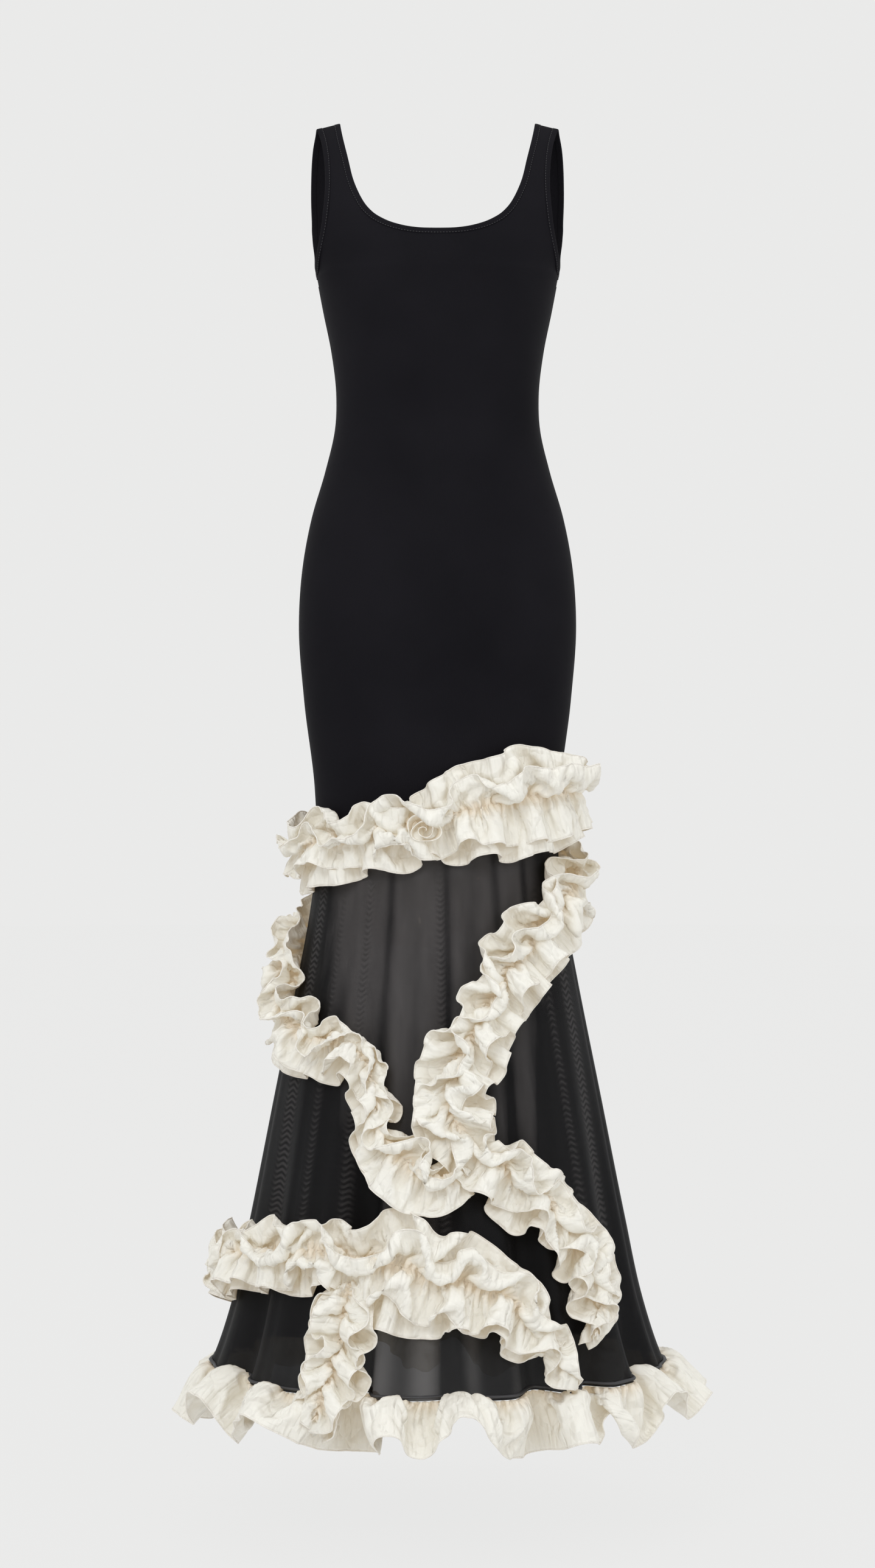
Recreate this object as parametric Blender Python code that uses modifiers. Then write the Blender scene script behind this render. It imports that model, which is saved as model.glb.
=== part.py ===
"""Mermaid dress, filled out as worn: a fitted sleeveless dress of black stretch jersey to the thigh,
a flared skirt of black sheer mesh below it, and cream ruffles wound round the skirt and along its hem.

The origin is midway between the two shoulder seams, where the shoulders hold the dress.
The front faces -Y and +Z is up. Tables and helpers work in millimetres, and build() scales to metres.
Angles run round the body in degrees: 0 is the front centre, 90 the side at +X, 180 the back centre.
"""

import math
from collections import namedtuple

import bmesh
import bpy
import numpy as np
from mathutils import Vector
from mathutils.bvhtree import BVHTree

MM = 0.001

# Walls and seams
JERSEY_WALL = 1.5
MESH_WALL = 1.2
RUFFLE_WALL = 1.0
BINDING_WALL = 2.3
SEAM_GAP = 0.5
SHOULDER_EXTRA_GAP = 0.3
SHOULDER_EXTRA_DROP = 12
HALF_SEAM = SEAM_GAP / 2

# Levels, measured down from the shoulder seams
ARMHOLE_DROP = 178.0
NECK_CORNER_DROP = 110.0
SEAM_DROP = 794.0
SEAM_TILT = 35.0
HEM_DROP = 1420.0
SHOULDER_SLOPE = 0.24
NECK_AT_SHOULDER = 118.3
SLOPE_FADE_DROP = 49.0

# Faces across and along each panel
BODY_COLUMNS = 16
BODY_ROWS = 10
NECK_COLUMNS = 10
YOKE_ROWS = (0, 0.05, 0.2, 0.41, 0.75, 1)
STRAP_COLUMNS = (BODY_COLUMNS - NECK_COLUMNS) // 2
STRAP_ROWS = 6
SKIRT_ROWS = 9
FRONT_SKIRT_COLUMNS = 44
BACK_SKIRT_COLUMNS = 32
BINDING_WIDTH = 5.0

# Form below the armholes
Section = namedtuple("Section", "drop half_width front back")
FORM = [
    Section(173, 139, 106, 88),
    Section(215, 131, 110, 87),
    Section(262, 121.5, 101, 80),
    Section(311, 116, 87, 77),
    Section(346, 117, 82, 82),
    Section(398, 128.5, 87, 96),
    Section(451, 144, 94, 107),
    Section(503, 154, 98, 113),
    Section(573, 159, 99, 114),
    Section(661, 153, 97, 106),
    Section(766, 140.5, 94, 97),
    Section(836, 139, 96, 98),
    Section(906, 147, 105, 108),
    Section(976, 160, 120, 123),
    Section(1116, 188, 147, 151),
    Section(1256, 216, 176, 181),
    Section(1340, 234, 195, 200),
    Section(1390, 249, 209, 214),
    Section(1430, 264, 223, 228),
]

# Form above the armholes: its own half width, then how far out each panel's armhole and neck edges lie.
# These are the panels' own edges. The bindings add their width beyond them.
Yoke = namedtuple("Yoke", "drop half_width front back front_arm back_arm front_neck back_neck")
YOKE = [
    Yoke(178, 138.6, 106.3, 88, 138.6, 138.6, 0, 0),
    Yoke(174.5, 139.5, 106, 88, 136.8, 137.3, 0, 0),
    Yoke(164, 144, 103, 88, 135, 138.4, 0, 0),
    Yoke(150, 150, 99, 87.5, 131.5, 138.3, 0, 0),
    Yoke(127, 157, 90, 86, 126.5, 140.5, 66, 80),
    Yoke(110, 160, 83.5, 83.5, 124.3, 141, 85.5, 91),
    Yoke(80, 159, 72, 74.5, 122, 141.8, 100, 103),
    Yoke(49, 154, 57, 60, 123, 140.8, 107.7, 108.7),
    Yoke(24, 148, 39, 41, 126.5, 138.5, 113.7, 114.2),
    Yoke(8, 143, 21, 22, 130.3, 134.8, 117, 117.2),
    Yoke(1.5, 141.3, 9, 9.5, 132.5, 133.5, 118, 118),
    Yoke(0, 141, 0, 0, 133, 133, 118.3, 118.3),
]
FIRST_STRAP_ROW = 5

# Neck scoop of the panels, half of it from the centre out to the corner where the straps begin
ScoopPoint = namedtuple("ScoopPoint", "out front_drop back_drop")
SCOOP = [
    ScoopPoint(0.0, 142, 157),
    ScoopPoint(0.25, 141.2, 155.5),
    ScoopPoint(0.5, 137.2, 149.5),
    ScoopPoint(0.75, 128.5, 138.5),
    ScoopPoint(0.92, 118, 123.5),
    ScoopPoint(1.0, 110, 110),
]

# Deep flare folds of the skirt: angle, depth at the hem, reach to either side in degrees, where each starts
Fold = namedtuple("Fold", "angle depth before after start")
FOLDS = [
    Fold(-62, 20, 11, 11, 1000),
    Fold(-21, 58, 14, 6, 960),
    Fold(4, 9, 9, 9, 1000),
    Fold(27, 34, 9, 9, 980),
    Fold(43, 26, 7, 7, 1240),
    Fold(66, 20, 10, 10, 1000),
    Fold(112, 24, 13, 13, 1000),
    Fold(146, 34, 13, 13, 960),
    Fold(181, 28, 13, 13, 980),
    Fold(217, 36, 13, 13, 960),
    Fold(250, 26, 13, 13, 1000),
]
FOLD_GROWTH = 1.5

# Ruffles: each strip is gathered along its middle, in two layers that wave away from the skirt
Strip = namedtuple("Strip", "name wave upper lower span seed path")
PathPoint = namedtuple("PathPoint", "angle drop")
STRIPS = [
    Strip("right_ruffle", 62, 45, 45, 5, 3, [
        PathPoint(116, 850), PathPoint(104, 857), PathPoint(90, 868), PathPoint(70, 885),
        PathPoint(53, 907), PathPoint(42, 930), PathPoint(33, 951), PathPoint(26, 975),
        PathPoint(19, 1003), PathPoint(12, 1036), PathPoint(7, 1068), PathPoint(4.5, 1100),
        PathPoint(5, 1126), PathPoint(9, 1148), PathPoint(16, 1168), PathPoint(24, 1190),
        PathPoint(31, 1213), PathPoint(37, 1238), PathPoint(43, 1262), PathPoint(46, 1288),
        PathPoint(47, 1314), PathPoint(45.5, 1338), PathPoint(43, 1360),
    ]),
    Strip("left_ruffle", 60, 36, 47, 5, 5, [
        PathPoint(-218, 866), PathPoint(-200, 881), PathPoint(-182, 895), PathPoint(-162, 908),
        PathPoint(-144, 917), PathPoint(-128, 924), PathPoint(-114, 932), PathPoint(-104, 941),
        PathPoint(-95, 954), PathPoint(-87, 972), PathPoint(-80, 994), PathPoint(-71, 1016),
        PathPoint(-60, 1034), PathPoint(-50, 1046), PathPoint(-39, 1055), PathPoint(-30, 1066),
        PathPoint(-24, 1084), PathPoint(-20.5, 1106), PathPoint(-19, 1130), PathPoint(-17, 1154),
        PathPoint(-13, 1174), PathPoint(-7, 1190),
    ]),
    Strip("lower_ruffle", 64, 46, 46, 5, 6, [
        PathPoint(-192, 1388), PathPoint(-186, 1372), PathPoint(-176, 1354), PathPoint(-162, 1337),
        PathPoint(-146, 1324), PathPoint(-128, 1315), PathPoint(-110, 1309), PathPoint(-92, 1302),
        PathPoint(-75, 1292), PathPoint(-59, 1280), PathPoint(-43, 1271), PathPoint(-28, 1268),
        PathPoint(-17, 1271), PathPoint(-8, 1279), PathPoint(1, 1291), PathPoint(9, 1306),
        PathPoint(16, 1328), PathPoint(21, 1356), PathPoint(25, 1396),
    ]),
    Strip("hem_ruffle_end", 40, 42, 34, 0.8, 7, [
        PathPoint(-24.5, 1328), PathPoint(-26.5, 1350), PathPoint(-28, 1374), PathPoint(-29, 1402),
    ]),
]
PATH_STEPS = 200
RING_WAVES = 14
RING_WAVE = 63
RING_SEED = 1
RING_HALF_WIDTH = 52
HEM_WAVES = 26
HEM_SEED = 2
HEM_RUFFLE_WIDTH = 68
HEM_FACES_DOWN = 2
SEGMENTS_PER_WAVE = 5
WAVE_JITTER = 0.27
WEAKEST_WAVE = 0.6
LOWER_WING_SHIFT = 0.5
END_TAPER = 0.4
END_TAPER_WAVES = 0.8

# How far each layer opens away from the skirt, in degrees, where its middle lies, and its faces across
Layer = namedtuple("Layer", "suffix lift closed open width_share sway faces")
LAYERS = [
    Layer("under", 0.7, 8, 36, 1.0, 0.0, 2),
    Layer("over", 2.4, 29, 80, 0.94, 0.09, 4),
]
RING_SPAN = 5
FOLD_CLEARANCE = 0.35
MOST_CLEARANCE = 3.0
PROBE_OUT = 30.0
PROBE_IN = 90.0
HEM_CLOSED = 18
HEM_OPEN = 52
HEM_SWAY_SHARE = 0.08
HEM_FOLD_EASE = 0.35
HEM_RUFFLE_GAP = 1.1

Colour = namedtuple("Colour", "base roughness alpha")
BLACK_JERSEY = Colour((0.012, 0.012, 0.014), 0.62, 1.0)
BLACK_MESH = Colour((0.010, 0.010, 0.011), 0.70, 0.85)
CREAM_COTTON = Colour((0.83, 0.78, 0.69), 0.60, 1.0)


def clear_scene():
    for obj in list(bpy.data.objects):
        bpy.data.objects.remove(obj, do_unlink=True)


def material(name, colour):
    made = bpy.data.materials.new(name)
    made.use_nodes = True
    shader = made.node_tree.nodes["Principled BSDF"]
    shader.inputs["Base Color"].default_value = (*colour.base, 1.0)
    shader.inputs["Roughness"].default_value = colour.roughness
    shader.inputs["Metallic"].default_value = 0.0
    shader.inputs["Alpha"].default_value = colour.alpha
    return made


def smooth_at(keys, values, at):
    """Cubic curve through the table's points, read at the given keys."""
    keys = np.asarray(keys, float)
    values = np.asarray(values, float)
    slopes = np.gradient(values, keys)
    at = np.clip(np.asarray(at, float), keys[0], keys[-1])
    i = np.clip(np.searchsorted(keys, at, side="right") - 1, 0, len(keys) - 2)
    span = keys[i + 1] - keys[i]
    t = (at - keys[i]) / span
    return (
        (2 * t**3 - 3 * t**2 + 1) * values[i]
        + (t**3 - 2 * t**2 + t) * span * slopes[i]
        + (3 * t**2 - 2 * t**3) * values[i + 1]
        + (t**3 - t**2) * span * slopes[i + 1]
    )


def column(rows, name):
    return [getattr(row, name) for row in rows]


def seam_drop(angle):
    """Level of the slanted seam between jersey and mesh: lower at the left, higher at the right."""
    return SEAM_DROP - SEAM_TILT * np.sin(np.radians(angle))


def form_point(angle, drop):
    """Point on the smooth form below the armholes, without the skirt's folds."""
    angle, drop = np.broadcast_arrays(np.asarray(angle, float), np.asarray(drop, float))
    drops = column(FORM, "drop")
    out = smooth_at(drops, column(FORM, "half_width"), drop)
    front = smooth_at(drops, column(FORM, "front"), drop)
    back = smooth_at(drops, column(FORM, "back"), drop)
    around = np.radians(angle)
    depth = np.where(np.cos(around) > 0, front, back)
    return np.stack([out * np.sin(around), -depth * np.cos(around), -drop], axis=-1)


def form_frame(angle, drop):
    """Unit vectors round the form, down it and out of it, and the lengths of one degree and one millimetre."""
    step = 0.5
    round_it = (form_point(np.add(angle, step), drop) - form_point(np.subtract(angle, step), drop)) / (2 * step)
    down = (form_point(angle, np.add(drop, step)) - form_point(angle, np.subtract(drop, step))) / (2 * step)
    degree = np.linalg.norm(round_it, axis=-1, keepdims=True)
    fall = np.linalg.norm(down, axis=-1, keepdims=True)
    round_it = round_it / degree
    down = down / fall
    out = np.cross(down, round_it)
    out = out / np.linalg.norm(out, axis=-1, keepdims=True)
    return round_it, down, out, degree[..., 0], fall[..., 0]


def fold_depth(angle, drop):
    """How far the skirt's folds sink in below the smooth form."""
    depth = np.zeros(np.broadcast(angle, drop).shape)
    for fold in FOLDS:
        away = (np.asarray(angle, float) - fold.angle + 180) % 360 - 180
        reach = np.where(away < 0, fold.before, fold.after)
        share = np.clip(np.abs(away) / reach, 0, 1)
        grown = np.clip((drop - fold.start) / (HEM_DROP - fold.start), 0, 1.05) ** FOLD_GROWTH
        depth = depth + fold.depth * grown * (0.5 + 0.5 * np.cos(math.pi * share))
    return depth


def skirt_point(angle, drop, lift=0.0):
    """Point on the outer face of the skirt, folds and all, moved out by lift."""
    out = form_frame(angle, drop)[2]
    distance = np.asarray(lift) - fold_depth(angle, drop)
    return form_point(angle, drop) + out * np.asarray(distance)[..., None]


def yoke_value(name, row):
    """A column of the yoke table read between its rows, so that the arch over the shoulder stays round."""
    return smooth_at(range(len(YOKE)), column(YOKE, name), row)


def yoke_row_at(drop):
    """The fractional row of the yoke table at a level below the straps."""
    drops = column(YOKE, "drop")
    return np.interp(-np.asarray(drop, float), [-d for d in drops], range(len(drops)))


def yoke_point(x, row, drop, side):
    """Point on the yoke at a distance x from the centre, on its front or back face."""
    half_width = yoke_value("half_width", row)
    depth = yoke_value(side, row)
    sink = SHOULDER_SLOPE * np.maximum(np.abs(x) - NECK_AT_SHOULDER, 0) * np.clip(1 - drop / SLOPE_FADE_DROP, 0, 1)
    gap = HALF_SEAM + SHOULDER_EXTRA_GAP * np.clip(1 - drop / SHOULDER_EXTRA_DROP, 0, 1)
    y = depth * np.sqrt(np.clip(1 - (x / half_width) ** 2, 0, 1)) + gap
    return np.stack([x, -y if side == "front" else y, -drop - sink], axis=-1)


def yoke_panel_point(across, up, side):
    """Point between the armhole level and the neck scoop; across and up run from -1 to 1 and 0 to 1."""
    corner = yoke_value(side + "_neck", FIRST_STRAP_ROW)
    corner_share = NECK_COLUMNS / BODY_COLUMNS
    arm = yoke_value(side + "_arm", FIRST_STRAP_ROW)
    share = np.abs(across)
    to_corner = np.clip(share / corner_share, 0, 1)
    past_corner = np.clip((share - corner_share) / (1 - corner_share), 0, 1)
    top_x = np.where(share <= corner_share, corner * to_corner, corner + (arm - corner) * past_corner)
    scoop = smooth_at(column(SCOOP, "out"), column(SCOOP, side + "_drop"), to_corner)
    top_drop = np.where(share <= corner_share, scoop, NECK_CORNER_DROP)
    drop = ARMHOLE_DROP + (top_drop - ARMHOLE_DROP) * up
    row = yoke_row_at(drop)
    foot_x = yoke_value("half_width", 0) * np.sin(share * math.pi / 2)
    edge_drop = ARMHOLE_DROP + (NECK_CORNER_DROP - ARMHOLE_DROP) * up
    straight_edge = yoke_value("half_width", 0) + (arm - yoke_value("half_width", 0)) * up
    curve = yoke_value(side + "_arm", yoke_row_at(edge_drop)) - straight_edge
    x = np.sign(across) * (foot_x + (top_x - foot_x) * up + curve * share**6)
    return yoke_point(x, row, drop, side)


def strap_point(across, up, side, hand):
    """Point on a strap: across runs from the neck to the armhole, up from the scoop's corner to the shoulder."""
    row = FIRST_STRAP_ROW + up * (len(YOKE) - 1 - FIRST_STRAP_ROW)
    neck = yoke_value(side + "_neck", row)
    arm = yoke_value(side + "_arm", row)
    drop = np.maximum(yoke_value("drop", row), 0)
    return yoke_point(hand * (neck + (arm - neck) * across), row, drop, side)


def seam_angle(drop):
    """Half the side seam's gap as an angle at a level."""
    return np.degrees(HALF_SEAM / smooth_at(column(FORM, "drop"), column(FORM, "front"), drop))


def add_grid(bm, columns, rows, place):
    """A grid of faces whose points are placed by a function of (u, v), both from 0 to 1."""
    verts = bmesh.ops.create_grid(bm, x_segments=columns, y_segments=rows, size=1.0)["verts"]
    u = np.array([(vert.co.x + 1) / 2 for vert in verts])
    v = np.array([(vert.co.y + 1) / 2 for vert in verts])
    for vert, point in zip(verts, place(u, v)):
        vert.co = point * MM


def add_table(bm, points):
    """A grid of faces over a table of points, rows across by steps along."""
    rows, steps = points.shape[0] - 1, points.shape[1] - 1

    def place(u, v):
        return points[np.rint(v * rows).astype(int), np.rint(u * steps).astype(int)]

    add_grid(bm, steps, rows, place)


def add_solid(name, bm, wall, side, cloth, collection):
    """A named object from an open sheet, thickened outward (side 1), inward (-1) or both ways (0)."""
    bmesh.ops.remove_doubles(bm, verts=bm.verts, dist=0.00002)
    mesh = bpy.data.meshes.new(name)
    bm.to_mesh(mesh)
    bm.free()
    mesh.materials.append(cloth)
    mesh.shade_smooth()
    obj = bpy.data.objects.new(name, mesh)
    collection.objects.link(obj)
    thicken = obj.modifiers.new("wall", "SOLIDIFY")
    thicken.thickness = wall * MM
    thicken.offset = side
    thicken.use_even_offset = False
    return obj


def build_bodice(name, side, cloth, collection):
    """Front or back panel of jersey, from the slanted seam up to both shoulder seams."""
    bm = bmesh.new()
    middle = 0 if side == "front" else 180
    turn = 1 if side == "front" else -1

    def body(u, v):
        across = 2 * u - 1
        foot = seam_drop(middle + 90 * across) - HALF_SEAM
        drop = foot + (ARMHOLE_DROP - foot) * v
        return form_point(middle + across * (90 - seam_angle(drop)), drop)

    def yoke(u, v):
        row = np.rint(v * (len(YOKE_ROWS) - 1)).astype(int)
        points = yoke_panel_point(turn * (2 * u - 1), np.array(YOKE_ROWS)[row], side)
        return np.where((row == 0)[:, None], body(u, np.ones_like(u)), points)

    add_grid(bm, BODY_COLUMNS, BODY_ROWS, body)
    add_grid(bm, BODY_COLUMNS, len(YOKE_ROWS) - 1, yoke)
    for hand in (-1, 1):

        def strap(u, v, hand=hand):
            return strap_point(1 - u if hand * turn < 0 else u, v, side, hand)

        add_grid(bm, STRAP_COLUMNS, STRAP_ROWS, strap)
    return add_solid(name, bm, JERSEY_WALL, -1, cloth, collection)


def build_skirt(name, middle, columns, cloth, collection):
    """Front or back panel of the flared mesh skirt."""
    bm = bmesh.new()

    def place(u, v):
        across = 2 * u - 1
        head = seam_drop(middle + 90 * across) + HALF_SEAM
        drop = HEM_DROP + (head - HEM_DROP) * v
        return skirt_point(middle + across * (90 - seam_angle(drop)), drop)

    add_grid(bm, columns, SKIRT_ROWS, place)
    return add_solid(name, bm, MESH_WALL, -1, cloth, collection)


def panel_skin(panels):
    """The outer faces of the panels as one tree, to seat the ruffles on."""
    points, faces = [], []
    for panel in panels:
        first = len(points)
        points += [vert.co for vert in panel.data.vertices]
        faces += [[first + i for i in face.vertices] for face in panel.data.polygons]
    return BVHTree.FromPolygons(points, faces)


def skin_height(skin, angle, drop):
    """How far the panels' faces lie out from the smooth form, negative in the folds."""
    heights = []
    for point, out in zip(form_point(angle, drop), form_frame(angle, drop)[2]):
        start = Vector((point + out * PROBE_OUT) * MM)
        distance = skin.ray_cast(start, Vector(-out), (PROBE_OUT + PROBE_IN) * MM)[3]
        heights.append(0.0 if distance is None else PROBE_OUT - distance / MM)
    return np.array(heights)


def wave_starts(count, seed):
    """Where each wave of a ruffle begins, as shares of its length, no two waves quite alike."""
    random = np.random.default_rng(seed)
    lengths = 1 + WAVE_JITTER * random.uniform(-1, 1, count)
    return np.concatenate([[0], np.cumsum(lengths)]) / lengths.sum()


def wave_strengths(count, seed, closed=False):
    """How far each wave opens, for the upper and the lower wing."""
    random = np.random.default_rng(seed + 100)
    strengths = random.uniform(WEAKEST_WAVE, 1.0, (count + 1, 2))
    if closed:
        strengths[-1] = strengths[0]
    return strengths


def path_points(strip):
    """The strip's path read at many close steps: angles, drops and lengths along it."""
    knots = np.arange(len(strip.path))
    fine = np.linspace(0, len(strip.path) - 1, PATH_STEPS)
    angles = smooth_at(knots, column(strip.path, "angle"), fine)
    drops = smooth_at(knots, column(strip.path, "drop"), fine)
    steps = np.linalg.norm(np.diff(form_point(angles, drops), axis=0), axis=1)
    return angles, drops, np.concatenate([[0], np.cumsum(steps)])


def path_samples(strip):
    """Phase of the waves, angle and drop at every step along a strip, and its number of waves."""
    angles, drops, along = path_points(strip)
    count = max(2, round(along[-1] / strip.wave))
    phase = np.arange(count * SEGMENTS_PER_WAVE + 1) / SEGMENTS_PER_WAVE
    at = np.interp(phase, range(count + 1), wave_starts(count, strip.seed)) * along[-1]
    return phase, np.interp(at, along, angles), np.interp(at, along, drops), count


def opening(phase, strengths, closed, opened, upper):
    """How far a wing of the ruffle is open, in degrees, at each phase of its waves."""
    strength = np.interp(phase, range(len(strengths)), strengths[:, 0 if upper else 1])
    swing = 0.5 + 0.5 * np.sin(2 * math.pi * (phase + (0.0 if upper else LOWER_WING_SHIFT)))
    return closed + (opened - closed) * swing * strength


def path_bend(centre, along, out, closed):
    """How sharply the path turns towards its upper side, in radians a millimetre."""
    ahead = np.roll(along, -1, axis=0)
    turned = np.einsum("ij,ij->i", np.cross(along, ahead), out)
    length = np.linalg.norm(np.roll(centre, -1, axis=0) - centre, axis=1)
    bend = turned / np.maximum(length, 1.0)
    if not closed:
        bend[-1] = bend[-2]
    return bend


def ruffle_points(skin, angle, drop, phase, strengths, strip, layer, taper, closed=False):
    """Points of one ruffle layer, in rows from its lower edge over the gathers to its upper edge.

    It lies on the panels' faces, bridges folds narrower than its span and stands a little clear of steep ones.
    """
    centre = form_point(angle, drop)
    if closed:
        along = np.roll(centre, -1, axis=0) - np.roll(centre, 1, axis=0)
    else:
        along = np.gradient(centre, axis=0)
    round_it, down, out, degree, fall = form_frame(angle, drop)
    along = along / np.linalg.norm(along, axis=1, keepdims=True)
    aside = np.cross(out, along)
    bend = path_bend(centre, along, out, closed)
    nearby = [skin_height(skin, angle + step, drop) for step in (-strip.span, 0, strip.span)]
    seat = np.max(nearby, axis=0)
    clearance = np.minimum((seat - np.min(nearby, axis=0)) * FOLD_CLEARANCE, MOST_CLEARANCE)
    rows = []
    for share in np.linspace(-1, 1, layer.faces + 1):
        is_upper = share >= 0
        reach = abs(share) * (strip.upper if is_upper else strip.lower) * layer.width_share * taper
        opened = np.radians(opening(phase, strengths, layer.closed, layer.open, is_upper))
        inward = np.maximum(bend * (1 if is_upper else -1), 1e-6)
        flat = (1 - np.exp(-inward * reach * np.cos(opened))) / inward
        swing = np.sin(4 * math.pi * (phase + (0.0 if is_upper else LOWER_WING_SHIFT)))
        sway = -layer.sway * strip.wave * abs(share) ** 1.3 * swing * taper
        move = aside * (flat * np.sign(share))[:, None] + along * sway[:, None]
        at_angle = angle + np.einsum("ij,ij->i", move, round_it) / degree
        at_drop = drop + np.einsum("ij,ij->i", move, down) / fall
        base = np.maximum(skin_height(skin, at_angle, at_drop), seat) + clearance
        lift = base + layer.lift + reach * np.sin(opened)
        rows.append(form_point(at_angle, at_drop) + form_frame(at_angle, at_drop)[2] * lift[:, None])
    return np.stack(rows)


def end_taper(phase, count):
    """Ruffles narrow towards their two ends."""
    to_end = np.minimum(phase, count - phase) / END_TAPER_WAVES
    return END_TAPER + (1 - END_TAPER) * np.clip(to_end, 0, 1)


def build_strip(strip, layer, skin, cloth, collection):
    """One layer of one ruffle strip."""
    phase, angle, drop, count = path_samples(strip)
    strengths = wave_strengths(count, strip.seed)
    points = ruffle_points(skin, angle, drop, phase, strengths, strip, layer, end_taper(phase, count))
    bm = bmesh.new()
    add_table(bm, points)
    return add_solid(f"{strip.name}_{layer.suffix}", bm, RUFFLE_WALL, 1, cloth, collection)


def ring_angles(count, seed):
    """Phase of the waves and angle at every step round a closed ruffle."""
    phase = np.arange(count * SEGMENTS_PER_WAVE) / SEGMENTS_PER_WAVE
    return phase, -90 + 360 * np.interp(phase, range(count + 1), wave_starts(count, seed))


def half_table(points, angles, front, drop):
    """The half of a closed ring of points on one side of the two side seams, cut at the seams."""
    low, high = (-90, 90) if front else (90, 270)
    gap = seam_angle(drop)
    inside = (angles > low + 2) & (angles < high - 2)
    wanted = np.concatenate([[low + gap], angles[inside], [high - gap]])
    round_twice = np.concatenate([angles, angles + 360])
    doubled = np.concatenate([points, points], axis=1)
    flat = doubled.reshape(-1, doubled.shape[1], 3)
    cut = [[np.interp(wanted, round_twice, row[:, axis]) for axis in range(3)] for row in flat]
    return np.moveaxis(np.array(cut), 1, 2)


def build_ring(layer, front, skin, cloth, collection):
    """Half of the ruffle that covers the slanted seam."""
    phase, angle = ring_angles(RING_WAVES, RING_SEED)
    strengths = wave_strengths(RING_WAVES, RING_SEED, closed=True)
    strip = Strip("ring", RING_WAVE, RING_HALF_WIDTH, RING_HALF_WIDTH, RING_SPAN, RING_SEED, [])
    points = ruffle_points(
        skin, angle, seam_drop(angle), phase, strengths, strip, layer, np.ones_like(phase), closed=True
    )
    bm = bmesh.new()
    add_table(bm, half_table(points, angle, front, SEAM_DROP))
    name = f"seam_ruffle_{'front' if front else 'back'}_{layer.suffix}"
    return add_solid(name, bm, RUFFLE_WALL, 1, cloth, collection)


def build_hem(front, cloth, collection):
    """Half of the single gathered ruffle along the hem."""
    phase, angle = ring_angles(HEM_WAVES, HEM_SEED)
    strengths = wave_strengths(HEM_WAVES, HEM_SEED, closed=True)
    top = skirt_point(angle, HEM_DROP, -MESH_WALL)
    ease = form_point(angle, HEM_DROP) - top
    round_it, down, out = form_frame(angle, HEM_DROP)[:3]
    flat_out = out * [1, 1, 0]
    flat_out = flat_out / np.linalg.norm(flat_out, axis=1, keepdims=True)
    opened = np.radians(opening(phase, strengths, HEM_CLOSED, HEM_OPEN, True))[:, None]
    sway = -HEM_SWAY_SHARE * HEM_RUFFLE_WIDTH * np.sin(4 * math.pi * phase)[:, None]
    rows = []
    for share in np.linspace(1, 0, HEM_FACES_DOWN + 1):
        reach = share * HEM_RUFFLE_WIDTH
        fall = np.cos(opened) * reach + HEM_RUFFLE_GAP
        spread = flat_out * np.sin(opened) * reach
        base = top + ease * share * HEM_FOLD_EASE
        rows.append(base + [0, 0, -1] * fall + spread + round_it * sway * share**1.3)
    bm = bmesh.new()
    add_table(bm, half_table(np.stack(rows), angle, front, HEM_DROP))
    return add_solid(f"hem_ruffle_{'front' if front else 'back'}", bm, RUFFLE_WALL, 1, cloth, collection)


def build_binding(name, edge, inner, cloth, collection):
    """A closed binding that carries a panel's edge on by its own width.

    The edge's points lie on the panels' edge and the inner points on the panels, a little way in.
    """
    along = np.roll(edge, -1, axis=0) - np.roll(edge, 1, axis=0)
    along = along / np.linalg.norm(along, axis=1, keepdims=True)
    beyond = edge - inner
    beyond = beyond - along * np.einsum("ij,ij->i", beyond, along)[:, None]
    beyond = beyond / np.linalg.norm(beyond, axis=1, keepdims=True)
    out = np.cross(beyond, along)
    away = edge - [0, 0, -ARMHOLE_DROP]
    out = out * np.sign(np.einsum("ij,ij->i", out, away))[:, None]
    middle = edge - out * JERSEY_WALL / 2
    rows = np.stack([middle + beyond * SEAM_GAP, middle + beyond * BINDING_WIDTH])
    bm = bmesh.new()
    add_table(bm, np.concatenate([rows, rows[:, :1]], axis=1))
    return add_solid(name, bm, BINDING_WALL, 0, cloth, collection)


def strap_edge(side, hand, across):
    """Points up one edge line of a strap, without its two ends."""
    up = np.linspace(0, 1, STRAP_ROWS + 1)[1:-1]
    return strap_point(np.full_like(up, across), up, side, hand)


def shoulder_point(hand, across):
    """Point on the shoulder seam, midway between the front and back panels."""
    ends = [strap_point(np.array([across]), np.array([1.0]), side, hand) for side in ("front", "back")]
    return (ends[0] + ends[1]) / 2


def neck_loop(across, up):
    """A closed line round the neck: on the panels' edge for across 0 and up 1, further in for other values."""
    shares = np.linspace(-1, 1, NECK_COLUMNS + 1) * NECK_COLUMNS / BODY_COLUMNS
    halves = []
    for side in ("front", "back"):
        scoop = yoke_panel_point(shares, np.full_like(shares, up), side)
        halves.append(np.concatenate([strap_edge(side, -1, across)[::-1], scoop, strap_edge(side, 1, across)]))
    return np.concatenate([halves[0], shoulder_point(1, across), halves[1][::-1], shoulder_point(-1, across)])


def armhole_loop(hand, inset):
    """A closed line round an armhole: on the panels' edge for inset 0, further in for other values."""
    up = np.array(YOKE_ROWS[1:])
    halves = []
    for side in ("front", "back"):
        yoke = yoke_panel_point(np.full_like(up, hand * (1 - inset)), up, side)
        halves.append(np.concatenate([yoke, strap_edge(side, hand, 1 - inset)]))
    foot = form_point(np.array([hand * 90.0]), np.array([ARMHOLE_DROP + inset * 50]))
    return np.concatenate([foot, halves[0], shoulder_point(hand, 1 - inset), halves[1][::-1]])


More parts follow.
